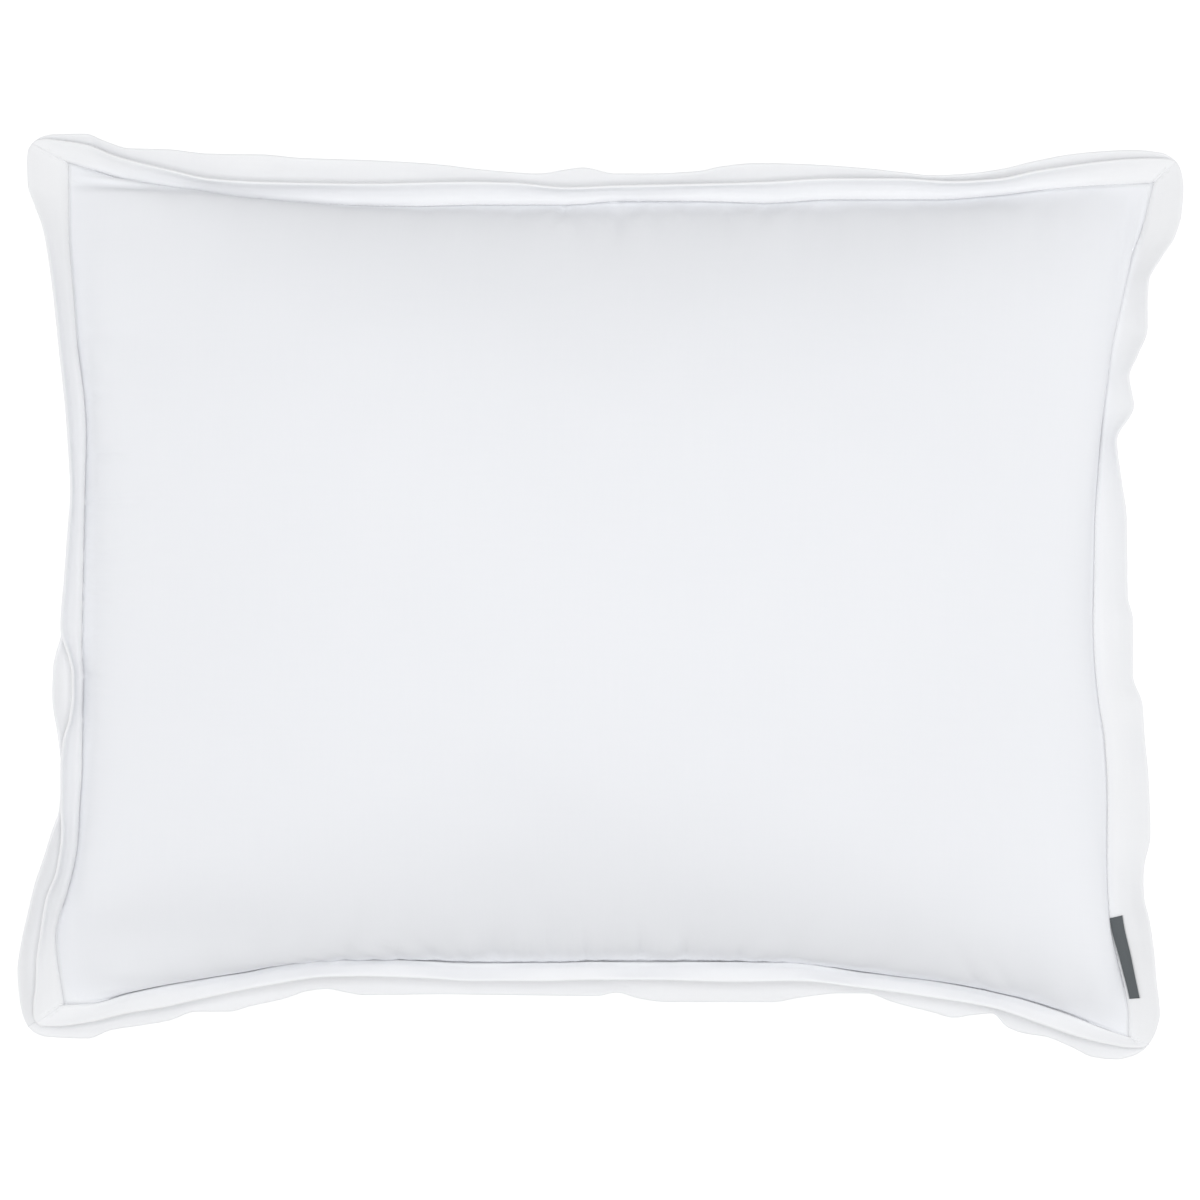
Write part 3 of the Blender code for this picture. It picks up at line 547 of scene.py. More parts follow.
# ---------------------------------------------------------------- the two panels: flat cloth, sewn round its edge and blown up
CELLS_X, CELLS_Y = 120, 92
CLOTH_LENGTH, CLOTH_WIDTH = 0.631, 0.495
S, T = np.linspace(0, 1, CELLS_X + 1), np.linspace(0, 1, CELLS_Y + 1)
FLAT = np.stack(np.broadcast_arrays((S[:, None] - 0.5) * CLOTH_LENGTH, (T[None, :] - 0.5) * CLOTH_WIDTH, 0.0), -1)
CROWN_HEIGHT, PLUMP = 0.0975, 0.30
CROWN = (1 - np.abs(2 * S - 1) ** 2.4)[:, None] * (1 - np.abs(2 * T - 1) ** 2.1)[None, :]


def inflated(name, sewn, side):
    """The cloth's grid once it is sewn to the seam and filled. side is 1 for the front and -1 for the back."""
    mesh = bpy.data.meshes.new(name)
    start = FLAT + [0, 0, SEAM_Z]
    faces = quads(CELLS_X + 1, CELLS_Y + 1, 0, side < 0)
    mesh.from_pydata(start.reshape(-1, 3).tolist(), [], faces.tolist())
    obj = bpy.data.objects.new(name, mesh)
    scene.collection.objects.link(obj)
    obj.shape_key_add(name="cut")
    key = obj.shape_key_add(name="sewn")
    target = sewn.copy()
    target[..., 2] += side * 0.05 * CROWN
    key.data.foreach_set("co", target.astype(np.float32).ravel())
    key.value = 0
    key.keyframe_insert("value", frame=1)
    key.value = 1
    key.keyframe_insert("value", frame=10)
    pins = obj.vertex_groups.new(name="seam")
    pins.add([int(i) for i in rim(CELLS_X + 1, CELLS_Y + 1)], 1.0, "REPLACE")
    cloth = obj.modifiers.new("cloth", "CLOTH")
    linen_cloth = cloth.settings
    linen_cloth.quality = 8
    linen_cloth.mass = 0.005
    linen_cloth.tension_stiffness = linen_cloth.compression_stiffness = 80
    linen_cloth.shear_stiffness = 1
    linen_cloth.bending_stiffness = 10
    linen_cloth.tension_damping = linen_cloth.compression_damping = linen_cloth.shear_damping = 5
    linen_cloth.air_damping = 2
    linen_cloth.vertex_group_mass = "seam"
    linen_cloth.use_pressure = True
    linen_cloth.uniform_pressure_force = 200
    linen_cloth.effector_weights.gravity = 0
    cloth.collision_settings.use_collision = False
    cloth.collision_settings.use_self_collision = False
    cloth.point_cache.frame_start, cloth.point_cache.frame_end = 1, 30
    for step in range(1, 23):
        scene.frame_set(step)
    result = obj.evaluated_get(bpy.context.evaluated_depsgraph_get())
    co = np.empty(len(result.data.vertices) * 3, np.float32)
    result.data.vertices.foreach_get("co", co)
    motion = obj.data.shape_keys.animation_data.action
    obj.data.shape_keys.animation_data_clear()
    bpy.data.objects.remove(obj, do_unlink=True)
    bpy.data.meshes.remove(mesh)
    bpy.data.actions.remove(motion)
    scene.frame_set(1)
    return co.reshape(CELLS_X + 1, CELLS_Y + 1, 3).astype(float)


def lumps(grid, size, amount, seed):
    """Soft unevenness of the filling: a sum of smooth waves, none at the seam."""
    noise = np.random.default_rng(seed)
    total = np.zeros(grid.shape[:2])
    x, y = grid[..., 0], grid[..., 1]
    for _ in range(14):
        angle, phase = noise.uniform(0, 2 * np.pi), noise.uniform(0, 2 * np.pi)
        wave = 2 * np.pi / (size * noise.uniform(0.7, 1.6))
        total += np.sin(wave * (x * math.cos(angle) + y * math.sin(angle)) + phase)
    fade = smooth(np.minimum(S, 1 - S) / 0.12)[:, None] * smooth(np.minimum(T, 1 - T) / 0.14)[None, :]
    return total / 14**0.5 * amount * fade


front_sewn, back_sewn = coons(seam, S, T), coons(back_seam, S, T)
front_cloth = inflated("front_cloth", front_sewn, 1)
back_cloth = inflated("back_cloth", back_sewn, -1)
# The filling keeps the deepest wrinkles from forming: the front shows only faint ones next to the seam.
inland = (smooth(np.minimum(S, 1 - S) / 0.16)[:, None] * smooth(np.minimum(T, 1 - T) / 0.20)[None, :])[..., None]
keep = 0.85 - 0.40 * inland
front_cloth = front_cloth * keep + blurred(front_cloth, 20) * (1 - keep)
back_cloth = back_cloth * 0.6 + blurred(back_cloth, 14) * 0.4
# The filling rolls over the long seams.
from_long_seam = (np.minimum(T, 1 - T) * CLOTH_WIDTH)[None, :]
front_cloth[..., 2] += 0.0016 * (1 - np.exp(-from_long_seam / 0.009)) * smooth(np.minimum(S, 1 - S) / 0.15)[:, None]
# It is stuffed full: the sides climb quickly and the crown is broad.
swell = (front_cloth[..., 2] - front_sewn[..., 2]) / CROWN_HEIGHT
front_cloth[..., 2] += CROWN_HEIGHT * (PLUMP * swell * (1 - swell)) - 0.02 * CROWN_HEIGHT * swell
front_cloth[..., 2] += lumps(front_cloth, 0.16, 0.0009, 3) + lumps(front_cloth, 0.06, 0.00022, 11)
back_cloth[..., 2] += lumps(back_cloth, 0.13, 0.0012, 5)
# It lies on a flat surface, which presses the belly flat with a soft shoulder round the patch.
soft = 0.006
back_cloth[..., 2] = cad_low.z + soft * np.logaddexp(0, (back_cloth[..., 2] - cad_low.z) / soft) - soft * math.log(2) * np.exp(
    -np.abs(back_cloth[..., 2] - cad_low.z) / soft
)
back_cloth[..., 2] = np.maximum(back_cloth[..., 2], cad_low.z)

PANEL_THICK = 0.0008
flat_fine = finer(FLAT)
front_fine, back_fine = finer(front_cloth), finer(back_cloth)
# Small tucks where the gathered cloth leaves the long seams.
ruffle_noise = np.random.default_rng(21)
reach = flat_fine[..., 1] / CLOTH_WIDTH + 0.5
far_in = np.minimum(reach, 1 - reach) * CLOTH_WIDTH
fade = smooth((0.5 - np.abs(flat_fine[..., 0] / CLOTH_LENGTH)) / 0.10)
for upper_side in (True, False):
    here = fade * ((reach > 0.5) if upper_side else (reach <= 0.5))
    ruffle = np.zeros_like(far_in)
    for _ in range(8):
        length, lean = ruffle_noise.uniform(0.016, 0.060), ruffle_noise.uniform(-0.5, 0.5)
        ruffle += np.sin(2 * np.pi * (front_fine[..., 0] + lean * far_in) / length + ruffle_noise.uniform(0, 6.28))
    front_fine[..., 2] += 0.0012 * ruffle / 8**0.5 * (far_in / 0.013) * np.exp(1 - far_in / 0.013) * here
TUCKS = [(-0.021, True, 1.2, 0.3), (-0.009, True, 1.0, -0.2), (0.006, True, 1.3, 0.2), (0.021, True, 0.8, -0.4), (-0.105, True, 0.6, 0.5), (0.128, True, 0.6, -0.3)]
TUCKS += [(-0.150, False, 0.9, 0.3), (-0.060, False, 0.6, -0.3), (0.064, False, 0.6, 0.2), (0.222, False, 1.3, -0.5), (0.243, False, 1.1, -0.6)]
for x, upper_side, deep, lean in TUCKS:
    here = (reach > 0.5) if upper_side else (reach <= 0.5)
    groove = np.exp(-(((front_fine[..., 0] - x - lean * far_in) / (0.0026 + 0.10 * far_in)) ** 2))
    front_fine[..., 2] -= 0.0026 * deep * groove * (far_in / 0.009) * np.exp(1 - far_in / 0.009) * here
back_fine[..., 2] = np.maximum(back_fine[..., 2], cad_low.z)
front_normal, back_normal = normals(front_fine), -normals(back_fine)
front_panel = closed_sheet("front_panel_cloth", front_fine, front_fine - front_normal * PANEL_THICK, flat_fine)
back_inner = back_fine - back_normal * PANEL_THICK
back_panel = closed_sheet("back_panel_cloth", back_fine, back_inner, flat_fine + [0.3, 0.2, 0])
dress(front_panel, "linen_front", "pillow", "front_panel")
dress(back_panel, "linen_back", "pillow", "back_panel")

# ---------------------------------------------------------------- the flanges: eight folded strips of the same linen, its colour painted brighter for the light through them
V = np.concatenate([[-0.06, 0, 0.06, 0.14, 0.23, 0.33], np.linspace(0.44, 0.94, 6), [1.0]])
STRIP_STATIONS = 300


def fold_line(side, u, front):
    """The outer fold of a flange at the shares u along a side, and the root that it is sewn at."""
    root = seam(side, u) if front else back_seam(side, u)
    curve = (front_curve if front else back_curve)[side]
    points = (FRONT_FOLD if front else BACK_FOLD)[side]
    axis = LENGTHWISE[side]
    seam_along = SEAM[side][0][0] + u * (SEAM[side][-1][0] - SEAM[side][0][0])
    length = SEAM[side][-1][0] - SEAM[side][0][0]
    near_start, near_end = 1 - smooth(u * length / 46), 1 - smooth((1 - u) * length / 46)
    along = seam_along + near_start * (points[0][0] - seam_along[0]) + near_end * (points[-1][0] - seam_along[-1])
    across = curve(along)
    corner = np.maximum(1 - smooth(u * length / 60), 1 - smooth((1 - u) * length / 60))
    flat_reach = np.abs((across - seam_curve[side](seam_along)) * 0.001)
    width = FLANGE_WIDTH
    if front:
        rise = np.sqrt(np.maximum(width**2 - flat_reach**2, (0.12 * width) ** 2)) * FRONT_STANDS[side]
        rise = rise * (1 - corner) + FRONT_TIP_RISE * corner
    else:
        rise = BACK_RISE[side] * (1 - corner) + BACK_TIP_RISE * corner
        rise = rise + (1 - corner) * 0.0022 * np.sin(u * 23 + len(side)) * np.sin(u * 9.1)
    z = root[:, 2] + rise
    tip = seen_at(along, across, z) if axis == 0 else seen_at(across, along, z)
    return root, tip


def strip_grid(side, front, count=STRIP_STATIONS):
    """(middle points, normals, thickness, flat coordinates) of a flange's strip, by station and across it."""
    u = np.linspace(0, 1, count)
    # Stations crowd towards the mitres.
    u = u - 0.60 * np.sin(2 * np.pi * u) / (2 * np.pi)
    root, tip = fold_line(side, u, front)
    out = np.array([*OUT[side], 0.0])
    up = np.array([0, 0, 1.0])
    across = tip - root
    reach = across @ out
    tilt = np.arctan2(across[:, 2], np.maximum(reach, 1e-4))
    normal = -np.sin(tilt)[:, None] * out + np.cos(tilt)[:, None] * up
    start = root
    seed = sum(ord(c) for c in side) + (40 if front else 0)
    noise = np.random.default_rng(seed)
    wave = np.zeros(count)
    length = abs(SEAM[side][-1][0] - SEAM[side][0][0])
    for _ in range(9):
        wave += noise.normal() * np.sin(2 * np.pi * u * length / noise.uniform(28, 120) + noise.uniform(0, 6.28))
    wave *= smooth(u * length / 50) * smooth((1 - u) * length / 50) / 3
    ends = smooth(u * length / 70) * smooth((1 - u) * length / 70)
    bow = (0.0005 * wave - FRONT_CUP[side] * ends) if front else -0.0006 - 0.0004 * wave
    v = V[None, :, None]
    line = start[:, None] + (tip - start)[:, None] * v
    line = line + normal[:, None] * (bow[:, None] * np.sin(np.pi * V)[None, :])[..., None]
    # Thickness: the turned-in seam allowance near the root, the bare double cloth, then the soft outer fold.
    ridge = 0.0011 * np.exp(-(((V - 0.16) / 0.09) ** 2))
    fold = 0.0006 * smooth((V - 0.72) / 0.2)
    t = (0.0011 + ridge + fold)[None, :] * (1 + 0.10 * wave[:, None] * np.sin(3 * V)[None, :])
    step = np.linalg.norm(np.diff(root, axis=0), axis=1)
    walked = np.concatenate([[0], np.cumsum(step)])
    flat = np.stack(np.broadcast_arrays(walked[:, None], V[None, :] * FLANGE_WIDTH, 0.0), -1)
    surface_normal = normals(line)
    surface_normal = surface_normal * np.sign(np.sum(surface_normal * normal[:, None], -1, keepdims=True))
    # The face that meets the panel passes just under the seam, and the strip runs on a little way inside the cover.
    tuck = (0.5 * t[:, 1] + 0.0001)[:, None] * (1 - smooth(V / 0.5))[None, :]
    line = line + surface_normal[:, 1:2] * tuck[..., None] * (-1 if front else 1)
    if side == "bottom":
        # Beside the zip the seam allowance stands off to the far side of its cloth.
        line = line + surface_normal * (0.4 * ridge)[None, :, None] * (1 if front else -1)
    line[:, 0] = line[:, 1] - out * 0.0006 + up * (-0.0009 if front else 0.0009)
    if front and side == "bottom":
        # The slider and its pull tab run past under the strip.
        beside = smooth((line[:, 1, 0] + 0.184) / 0.020) * smooth((0.144 - line[:, 1, 0]) / 0.020)
        face = (line - surface_normal * t[..., None] / 2 - ZIP_MIDDLE)[:, :8] @ ZIP_ACROSS
        lift = np.clip(0.0028 - face.min(1), 0, 0.0015) * beside
        lift = np.convolve(np.pad(lift, 5, mode="edge"), np.ones(11) / 11, "valid")
        line = line + lift[:, None, None] * ZIP_ACROSS
    return line, surface_normal, t, flat


def flange(name, side, front):
    line, normal, thick, flat = strip_grid(side, front)
    # Neighbouring strips are sewn together along the mitre.
    axis = LENGTHWISE[side]
    shift = np.zeros_like(line)
    shift[0, :, axis], shift[-1, :, axis] = -0.00012, 0.00012
    line = line + shift
    upper = line + normal * thick[..., None] / 2
    lower = line - normal * thick[..., None] / 2
    forward = line[:, -1] - line[:, -2]
    forward /= np.linalg.norm(forward, axis=1, keepdims=True)
    turn = np.radians([54, 18, -18, -54])
    half = thick[:, -1] / 2
    cap = line[:, -1][:, None] + half[:, None, None] * (np.cos(turn)[None, :, None] * forward[:, None] * 1.25 + np.sin(turn)[None, :, None] * normal[:, -1][:, None])
    sections = np.concatenate([upper, cap, lower[:, ::-1]], 1)
    # The cloth runs over the top, round the fold and back underneath.
    cap_flat = np.repeat(flat[:, -1:], 4, 1) + np.stack([0 * turn, np.linspace(0.0003, 0.0012, 4), 0 * turn], -1)
    under = flat[:, ::-1].copy()
    under[..., 1] = 2 * FLANGE_WIDTH + 0.0015 - under[..., 1]
    made = loft(name, sections, np.concatenate([flat, cap_flat, under], 1) + [0.11 * len(side), 0.07 * (2 if front else 1), 0])
    return made, (line, normal, thick, flat)


strips = {}
for side in ("top", "bottom", "left", "right"):
    for front in (True, False):
        which = "front" if front else "back"
        made, kept = flange(f"{which}_flange_{side}_strip", side, front)
        # Their linen's colour is painted brighter for the light that shines through the thin strips.
        dress(made, "linen_flange", "pillow", f"{which}_flange_{side}")
        strips[which, side] = (made, kept)


# ---------------------------------------------------------------- sewing
def stitches(name, path, pitch, stitch, radius, lift=None, slant=0.0):
    """Short rounded stitches along a path, with a gap after each."""
    path = np.asarray(path, float)
    far = np.concatenate([[0], np.cumsum(np.linalg.norm(np.diff(path, axis=0), axis=1))])
    made = []
    for k in range(int(far[-1] / pitch)):
        q = np.linspace(k * pitch, k * pitch + stitch, 5)
        points = np.stack([np.interp(q, far, path[:, i]) for i in range(3)], -1)
        arch = np.sin(np.linspace(0, np.pi, 5))[:, None] * radius * 0.8
        points = points + arch * (np.array([0, 0, 1.0]) if lift is None else lift)
        made.append(points)
    return made


def seam_walk(of, count=160):
    """Once round a seam, anticlockwise from the bottom left corner."""
    u = np.linspace(0, 1, count)[:-1]
    return np.concatenate([of("bottom", u), of("right", u), of("top", 1 - u), of("left", 1 - u)])


front_loop = seam_walk(seam)
centre = np.array([MIDDLE_X, MIDDLE_Y, 0])


def outward(loop):
    along = np.roll(loop, -1, 0) - np.roll(loop, 1, 0)
    out = np.stack([along[:, 1], -along[:, 0], 0 * along[:, 0]], -1)
    return out / np.linalg.norm(out, axis=1, keepdims=True)


front_thread_path = front_loop + outward(front_loop) * 0.0004 - [0, 0, 0.0001]
front_thread = tubes("front_seam_stitches", stitches("front", front_thread_path, 0.0034, 0.0026, 0.00022), 0.00022)
dress(front_thread, "thread", "pillow", "front_seam_thread")
back_loop = seam_walk(back_seam)
back_thread_path = back_loop + outward(back_loop) * 0.0004 + [0, 0, 0.0001]
back_thread = tubes("back_seam_stitches", stitches("back", back_thread_path, 0.0034, 0.0026, 0.00028), 0.00028)
dress(back_thread, "thread", "pillow", "back_seam_thread")


def on_strip(which, side, u, v, above):
    """A point on a flange's upper face: u along it, v across it, and this far above the cloth."""
    line, normal, thick, _ = strips[which, side][1]
    a, b = np.clip(u, 0, 1) * (len(line) - 1), np.interp(v, V, np.arange(len(V)))
    i, j = min(int(a), len(line) - 2), min(int(b), len(V) - 2)
    p, q = a - i, b - j

    def mixed(grid):
        return (grid[i, j] * (1 - p) + grid[i + 1, j] * p) * (1 - q) + (grid[i, j + 1] * (1 - p) + grid[i + 1, j + 1] * p) * q

    n = mixed(normal)
    return mixed(line) + n / np.linalg.norm(n) * (mixed(thick) / 2 + above)


mitre_paths = []
for side, u, inwards in (("top", 0.0, 1), ("left", 1.0, -1), ("bottom", 0.0, 1), ("left", 0.0, 1), ("bottom", 1.0, -1), ("right", 0.0, 1), ("top", 1.0, -1), ("right", 1.0, -1)):
    mitre_paths += stitches("mitre", [on_strip("front", side, u + inwards * 0.0075, v, 0.00004) for v in np.linspace(0.10, 0.96, 30)], 0.0042, 0.0026, 0.00022)
mitre_stitches = tubes("mitre_stitches", mitre_paths, 0.00022)
dress(mitre_stitches, "thread", "pillow")

# ---------------------------------------------------------------- the woven label on the right flange
label_low, label_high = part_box("woven_label")
right_first, right_last = SEAM["right"][0][0], SEAM["right"][-1][0]


def right_station(y):
    """The share along the right strip whose points lie at this y."""
    line = strips["front", "right"][1][0]
    return float(np.interp(y, line[:, 4, 1], np.linspace(0, 1, len(line))))


LABEL_LONG, LABEL_WIDE = 0.0470, 0.0098
label_y = (label_low.y + label_high.y) / 2 + 0.0006
label_u = np.linspace(right_station(label_y - LABEL_LONG / 2), right_station(label_y + LABEL_LONG / 2), 48)
label_v = np.linspace(0, LABEL_WIDE / FLANGE_WIDTH, 9)
# It was sewn in a little askew.
label_top = np.array(
    [[on_strip("front", "right", u + 0.0042 * v / label_v[-1], v - 0.005 + 0.09 * askew, 0.00075) for v in label_v] for u, askew in zip(label_u, np.linspace(1, 0, 48))]
)
lift = normals(label_top)
lift *= np.sign(lift[..., 2:])
curl = 0.0004 * np.sin(np.linspace(0, np.pi, 48))[:, None] * np.linspace(0, 1, 9)[None, :] ** 2
label_top = label_top + lift * curl[..., None]
label_flat = np.stack(np.broadcast_arrays(np.linspace(0, LABEL_LONG, 48)[:, None], np.linspace(0, LABEL_WIDE, 9)[None, :], 0.0), -1)
label = closed_sheet("woven_label_tape", label_top, label_top - lift * 0.00045, label_flat)
dress(label, "label", "pillow", "woven_label")


# ---------------------------------------------------------------- the care labels, inside the cover and the insert
def care_label(name, node, seed):
    low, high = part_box(node)
    wide, long = high.x - low.x, high.y - low.y
    x = np.linspace(low.x, high.x, 9)
    y = np.linspace(low.y, high.y, 25)
    z = (low.z + high.z) / 2 + 0.0006 * np.sin(np.linspace(0, 5, 25) + seed)[None, :] * np.linspace(0, 1, 9)[:, None]
    upper = np.stack(np.broadcast_arrays(x[:, None], y[None, :], z), -1)
    flat = upper - upper[0, 0]
    made = closed_sheet(name, upper, upper - [0, 0, 0.0003], flat)
    return dress(made, "care_label", "pillow", node), (wide, long)


cover_label, cover_label_size = care_label("cover_care_tape", "cover_care_label", 0.4)
insert_label, insert_label_size = care_label("insert_care_tape", "insert_care_label", 2.0)


# ---------------------------------------------------------------- the concealed zip
def zip_point(x, outwards, across):
    """A point in the zip's frame: outwards from the pillow, and across towards the front panel."""
    base = np.stack([x + 0 * outwards, 0 * outwards + ZIP_MIDDLE[1], 0 * outwards + ZIP_MIDDLE[2]], -1)
    return base + np.asarray(outwards)[..., None] * ZIP_OUT + np.asarray(across)[..., None] * ZIP_ACROSS


CHAIN_FROM, CHAIN_TO = chain_low.x, chain_high.x
PITCH = 0.00125
for which, sign in (("front", 1), ("back", -1)):
    turns = int((CHAIN_TO - CHAIN_FROM - 0.0006) / PITCH)
    phi = np.linspace(0, 2 * np.pi * turns, turns * 12 + 1)
    x = CHAIN_FROM + 0.0003 + PITCH * phi / (2 * np.pi) + (0 if sign > 0 else PITCH * 0.25)
    coil_path = zip_point(x, -0.0001 * -1 + 0.00036 * np.sin(phi), sign * (0.00108 - 0.00040 * np.cos(phi)))
    coil = tubes(f"zip_coil_{which}_wire", [coil_path], 0.00021, sides=5, taper=False)
    dress(coil, "zip_coil", "pillow", f"zipper_coil_{which}")
    low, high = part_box(f"zipper_tape_{which}")
    x = np.linspace(low.x, high.x, 120)
    if sign > 0:
        profile = [(-0.0010, 0.00045), (-0.0010, 0.0012), (-0.0010, 0.0030), (-0.0011, 0.0052), (-0.0014, 0.0078), (-0.0020, 0.0104), (-0.0026, 0.0120)]
    else:
        profile = [(-0.0010, -0.00045), (-0.0010, -0.0012), (-0.0010, -0.0022), (-0.0014, -0.0029), (-0.0030, -0.0021), (-0.0060, -0.0005), (-0.0095, 0.0014)]
    profile = np.array(profile)
    walk = np.concatenate([[0], np.cumsum(np.linalg.norm(np.diff(profile, axis=0), axis=1))])
    fine = np.linspace(0, walk[-1], 15)
    outwards, across = np.interp(fine, walk, profile[:, 0]), np.interp(fine, walk, profile[:, 1])
    grid = np.array([zip_point(np.full(15, xx), outwards, across) for xx in x])
    tape_normal = normals(grid)
    tape_flat = np.stack(np.broadcast_arrays(x[:, None], fine[None, :], 0.0), -1)
    tape = closed_sheet(f"zip_tape_{which}_cloth", grid + tape_normal * 0.0002, grid - tape_normal * 0.0002, tape_flat)
    dress(tape, "zip_tape", "pillow", f"zipper_tape_{which}")
    run = np.array([zip_point(np.full(1, xx), np.full(1, -0.00072), np.full(1, sign * 0.0020))[0] for xx in np.linspace(CHAIN_FROM, CHAIN_TO, 200)])
    sewn = tubes(f"zip_stitches_{which}", stitches("zip", run, 0.0019, 0.0014, 0.00013, ZIP_OUT), 0.00013, sides=5)
    dress(sewn, "thread", "pillow")

# Beyond the zip's ends the cover is sewn shut: the turned-in cloth shows between the two flanges.
for name, first, last in (("left", 0.0, ZIP_SHARES[0] + 0.012), ("right", ZIP_SHARES[1] - 0.012, 1.0)):
    u, w = np.linspace(first, last, 90), np.linspace(0, 1, 9)
    in_front, behind = seam("bottom", u), back_seam("bottom", u)
    beside_zip = smooth((u - ZIP_SHARES[0] + 0.03) / 0.03) * smooth((ZIP_SHARES[1] + 0.03 - u) / 0.03)
    sunk = 0.0006 + 0.0030 * beside_zip[:, None] * np.sin(np.pi * w)[None, :] + 0.0004 * np.sin(np.pi * w)[None, :]
    between = in_front[:, None] * (1 - w)[None, :, None] + behind[:, None] * w[None, :, None] + sunk[..., None] * np.array([0, 1.0, 0])
    face = normals(between)
    face *= np.sign(-face[..., 1:2])
    flat_between = np.stack(np.broadcast_arrays((u * (BOTTOM_TO - BOTTOM_FROM))[:, None], (w * 0.010)[None, :], 0.0), -1)
    facing = closed_sheet(f"seam_end_{name}", between, between - face * 0.0006, flat_between)
    # The facing takes the flanges' linen, whose colour is painted brighter for light through thin cloth.
    dress(facing, "linen_flange", "pillow")


def solid(name, blocks, bevel, body, slot, *nodes):
    """Rounded metal parts: each block is an outline in (x, across) swept between two heights outwards."""
    bm = bmesh.new()
    for outline, inner, outer in blocks:
        count = len(outline)
        rings = []
        for height in (inner, outer):
            ring = [bm.verts.new(zip_point(np.array(x), np.array(height), np.array(z))) for x, z in outline]
            rings.append(ring)
        bm.faces.new(rings[0])
        bm.faces.new(list(reversed(rings[1])))
        for k in range(count):
            n = (k + 1) % count
            bm.faces.new((rings[0][k], rings[0][n], rings[1][n], rings[1][k]))
    bmesh.ops.recalc_face_normals(bm, faces=bm.faces)
    if bevel:
        sharp = [e for e in bm.edges if e.calc_face_angle(0) > 0.6]
        bmesh.ops.bevel(bm, geom=sharp, offset=bevel, segments=3, profile=0.6, affect="EDGES", clamp_overlap=True)
    mesh = bpy.data.meshes.new(name)
    bm.to_mesh(mesh)
    bm.free()
    mesh.shade_smooth()
    mesh.set_sharp_from_angle(angle=math.radians(50))
    made = bpy.data.objects.new(name, mesh)
    scene.collection.objects.link(made)
    return dress(made, slot, body, *nodes)


def rounded(x0, x1, z0, z1, radius, steps=5):
    """A rectangle with round corners in (x, across)."""
    points = []
    for cx, cz, start in ((x1 - radius, z1 - radius, 0), (x0 + radius, z1 - radius, 90), (x0 + radius, z0 + radius, 180), (x1 - radius, z0 + radius, 270)):
        for a in np.radians(np.linspace(start, start + 90, steps)):
            points.append((cx + radius * math.cos(a), cz + radius * math.sin(a)))
    return points


rest_x = float(PIVOT[0])
half = 0.00375
shield = [(-half, -0.0019), (-half, 0.0019), (-half + 0.0012, 0.0023), (half - 0.0016, 0.0023), (half - 0.0004, 0.0015), (half, 0.0006), (half, -0.0006), (half - 0.0004, -0.0015), (half - 0.0016, -0.0023), (-half + 0.0012, -0.0023)]
inner_plate = [(x, z * 0.73) for x, z in shield]
slider = solid(
    "zip_slider_body",
    [
        ([(rest_x + x, z) for x, z in shield], 0.0010, 0.0019),
        ([(rest_x + x, z) for x, z in inner_plate], -0.0024, -0.0015),
        (rounded(rest_x - half + 0.0005, rest_x - half + 0.0030, -0.0002, 0.0002, 0.00015), -0.0017, 0.0012),
        ([(rest_x + x, z) for x, z in ((-half + 0.0012, 0.0019), (half - 0.0016, 0.0019), (half - 0.0016, 0.0023), (-half + 0.0012, 0.0023))], 0.0001, 0.0012),
        ([(rest_x + x, z) for x, z in ((-half + 0.0012, -0.0023), (half - 0.0016, -0.0023), (half - 0.0016, -0.0019), (-half + 0.0012, -0.0019))], 0.0001, 0.0012),
        (rounded(rest_x - 0.0019, rest_x - 0.0012, -0.0006, 0.0006, 0.0002), 0.0018, 0.0040),
        (rounded(rest_x + 0.0012, rest_x + 0.0019, -0.0006, 0.0006, 0.0002), 0.0018, 0.0040),
        (rounded(rest_x - 0.0019, rest_x + 0.0019, -0.0006, 0.0006, 0.0003), 0.0036, 0.0042),
    ],
    0.00013,
    "slider",
    "zip_metal",
    "zipper_slider",
)
h, w = 0.00045, 0.0019
pull = solid(
    "zip_pull_tab",
    [
        (rounded(rest_x - h, rest_x + h, -w, w, 0.0004), 0.00275 - h, 0.00275 + h),
        (rounded(rest_x - h, rest_x + 0.0042, 0.0011, w, 0.00035), 0.00275 - h, 0.00275 + h),
        (rounded(rest_x - h, rest_x + 0.0042, -w, -0.0011, 0.00035), 0.00275 - h, 0.00275 + h),
        (rounded(rest_x + 0.0033, rest_x + 0.0150, -w, w, 0.0015, 7), 0.00275 - h, 0.00275 + h),
        (rounded(rest_x + 0.0062, rest_x + 0.0135, -w * 0.55, w * 0.55, 0.0009, 7), 0.00275 - h - 0.00012, 0.00275 + h + 0.00012),
    ],
    0.00014,
    "pull",
    "zip_metal",
    "zipper_pull",
)
for node in ("zipper_top_stop_front", "zipper_top_stop_back", "zipper_bottom_stop"):
    low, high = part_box(node)
    corners = np.array([v.co for v in frame["nodes"][node].data.vertices]) - ZIP_MIDDLE
    out_range, across_range = corners @ ZIP_OUT, corners @ ZIP_ACROSS
    solid(f"{node}_metal", [(rounded(low.x, high.x, across_range.min(), across_range.max(), 0.0004), out_range.min(), out_range.max())], 0.00025, "pillow", "zip_metal", node)

# ---------------------------------------------------------------- the insert inside the cover
inset_x, inset_y = 0.036, 0.047
s_in, t_in = np.linspace(inset_x, 1 - inset_x, 91), np.linspace(inset_y, 1 - inset_y, 71)


def sampled(grid, s, t):
    """The grid's points at these shares along and across."""
    a, b = s * (len(grid) - 1), t * (grid.shape[1] - 1)
    i, j = np.minimum(a.astype(int), len(grid) - 2), np.minimum(b.astype(int), grid.shape[1] - 2)
    p, q = (a - i)[:, None, None], (b - j)[None, :, None]
    corner = lambda di, dj: grid[np.ix_(i + di, j + dj)]
    return (corner(0, 0) * (1 - p) + corner(1, 0) * p) * (1 - q) + (corner(0, 1) * (1 - p) + corner(1, 1) * p) * q


def towards_cover(distance, length):
    return 1 - (1 - np.clip(distance / length, 0, 1)) ** 2.2


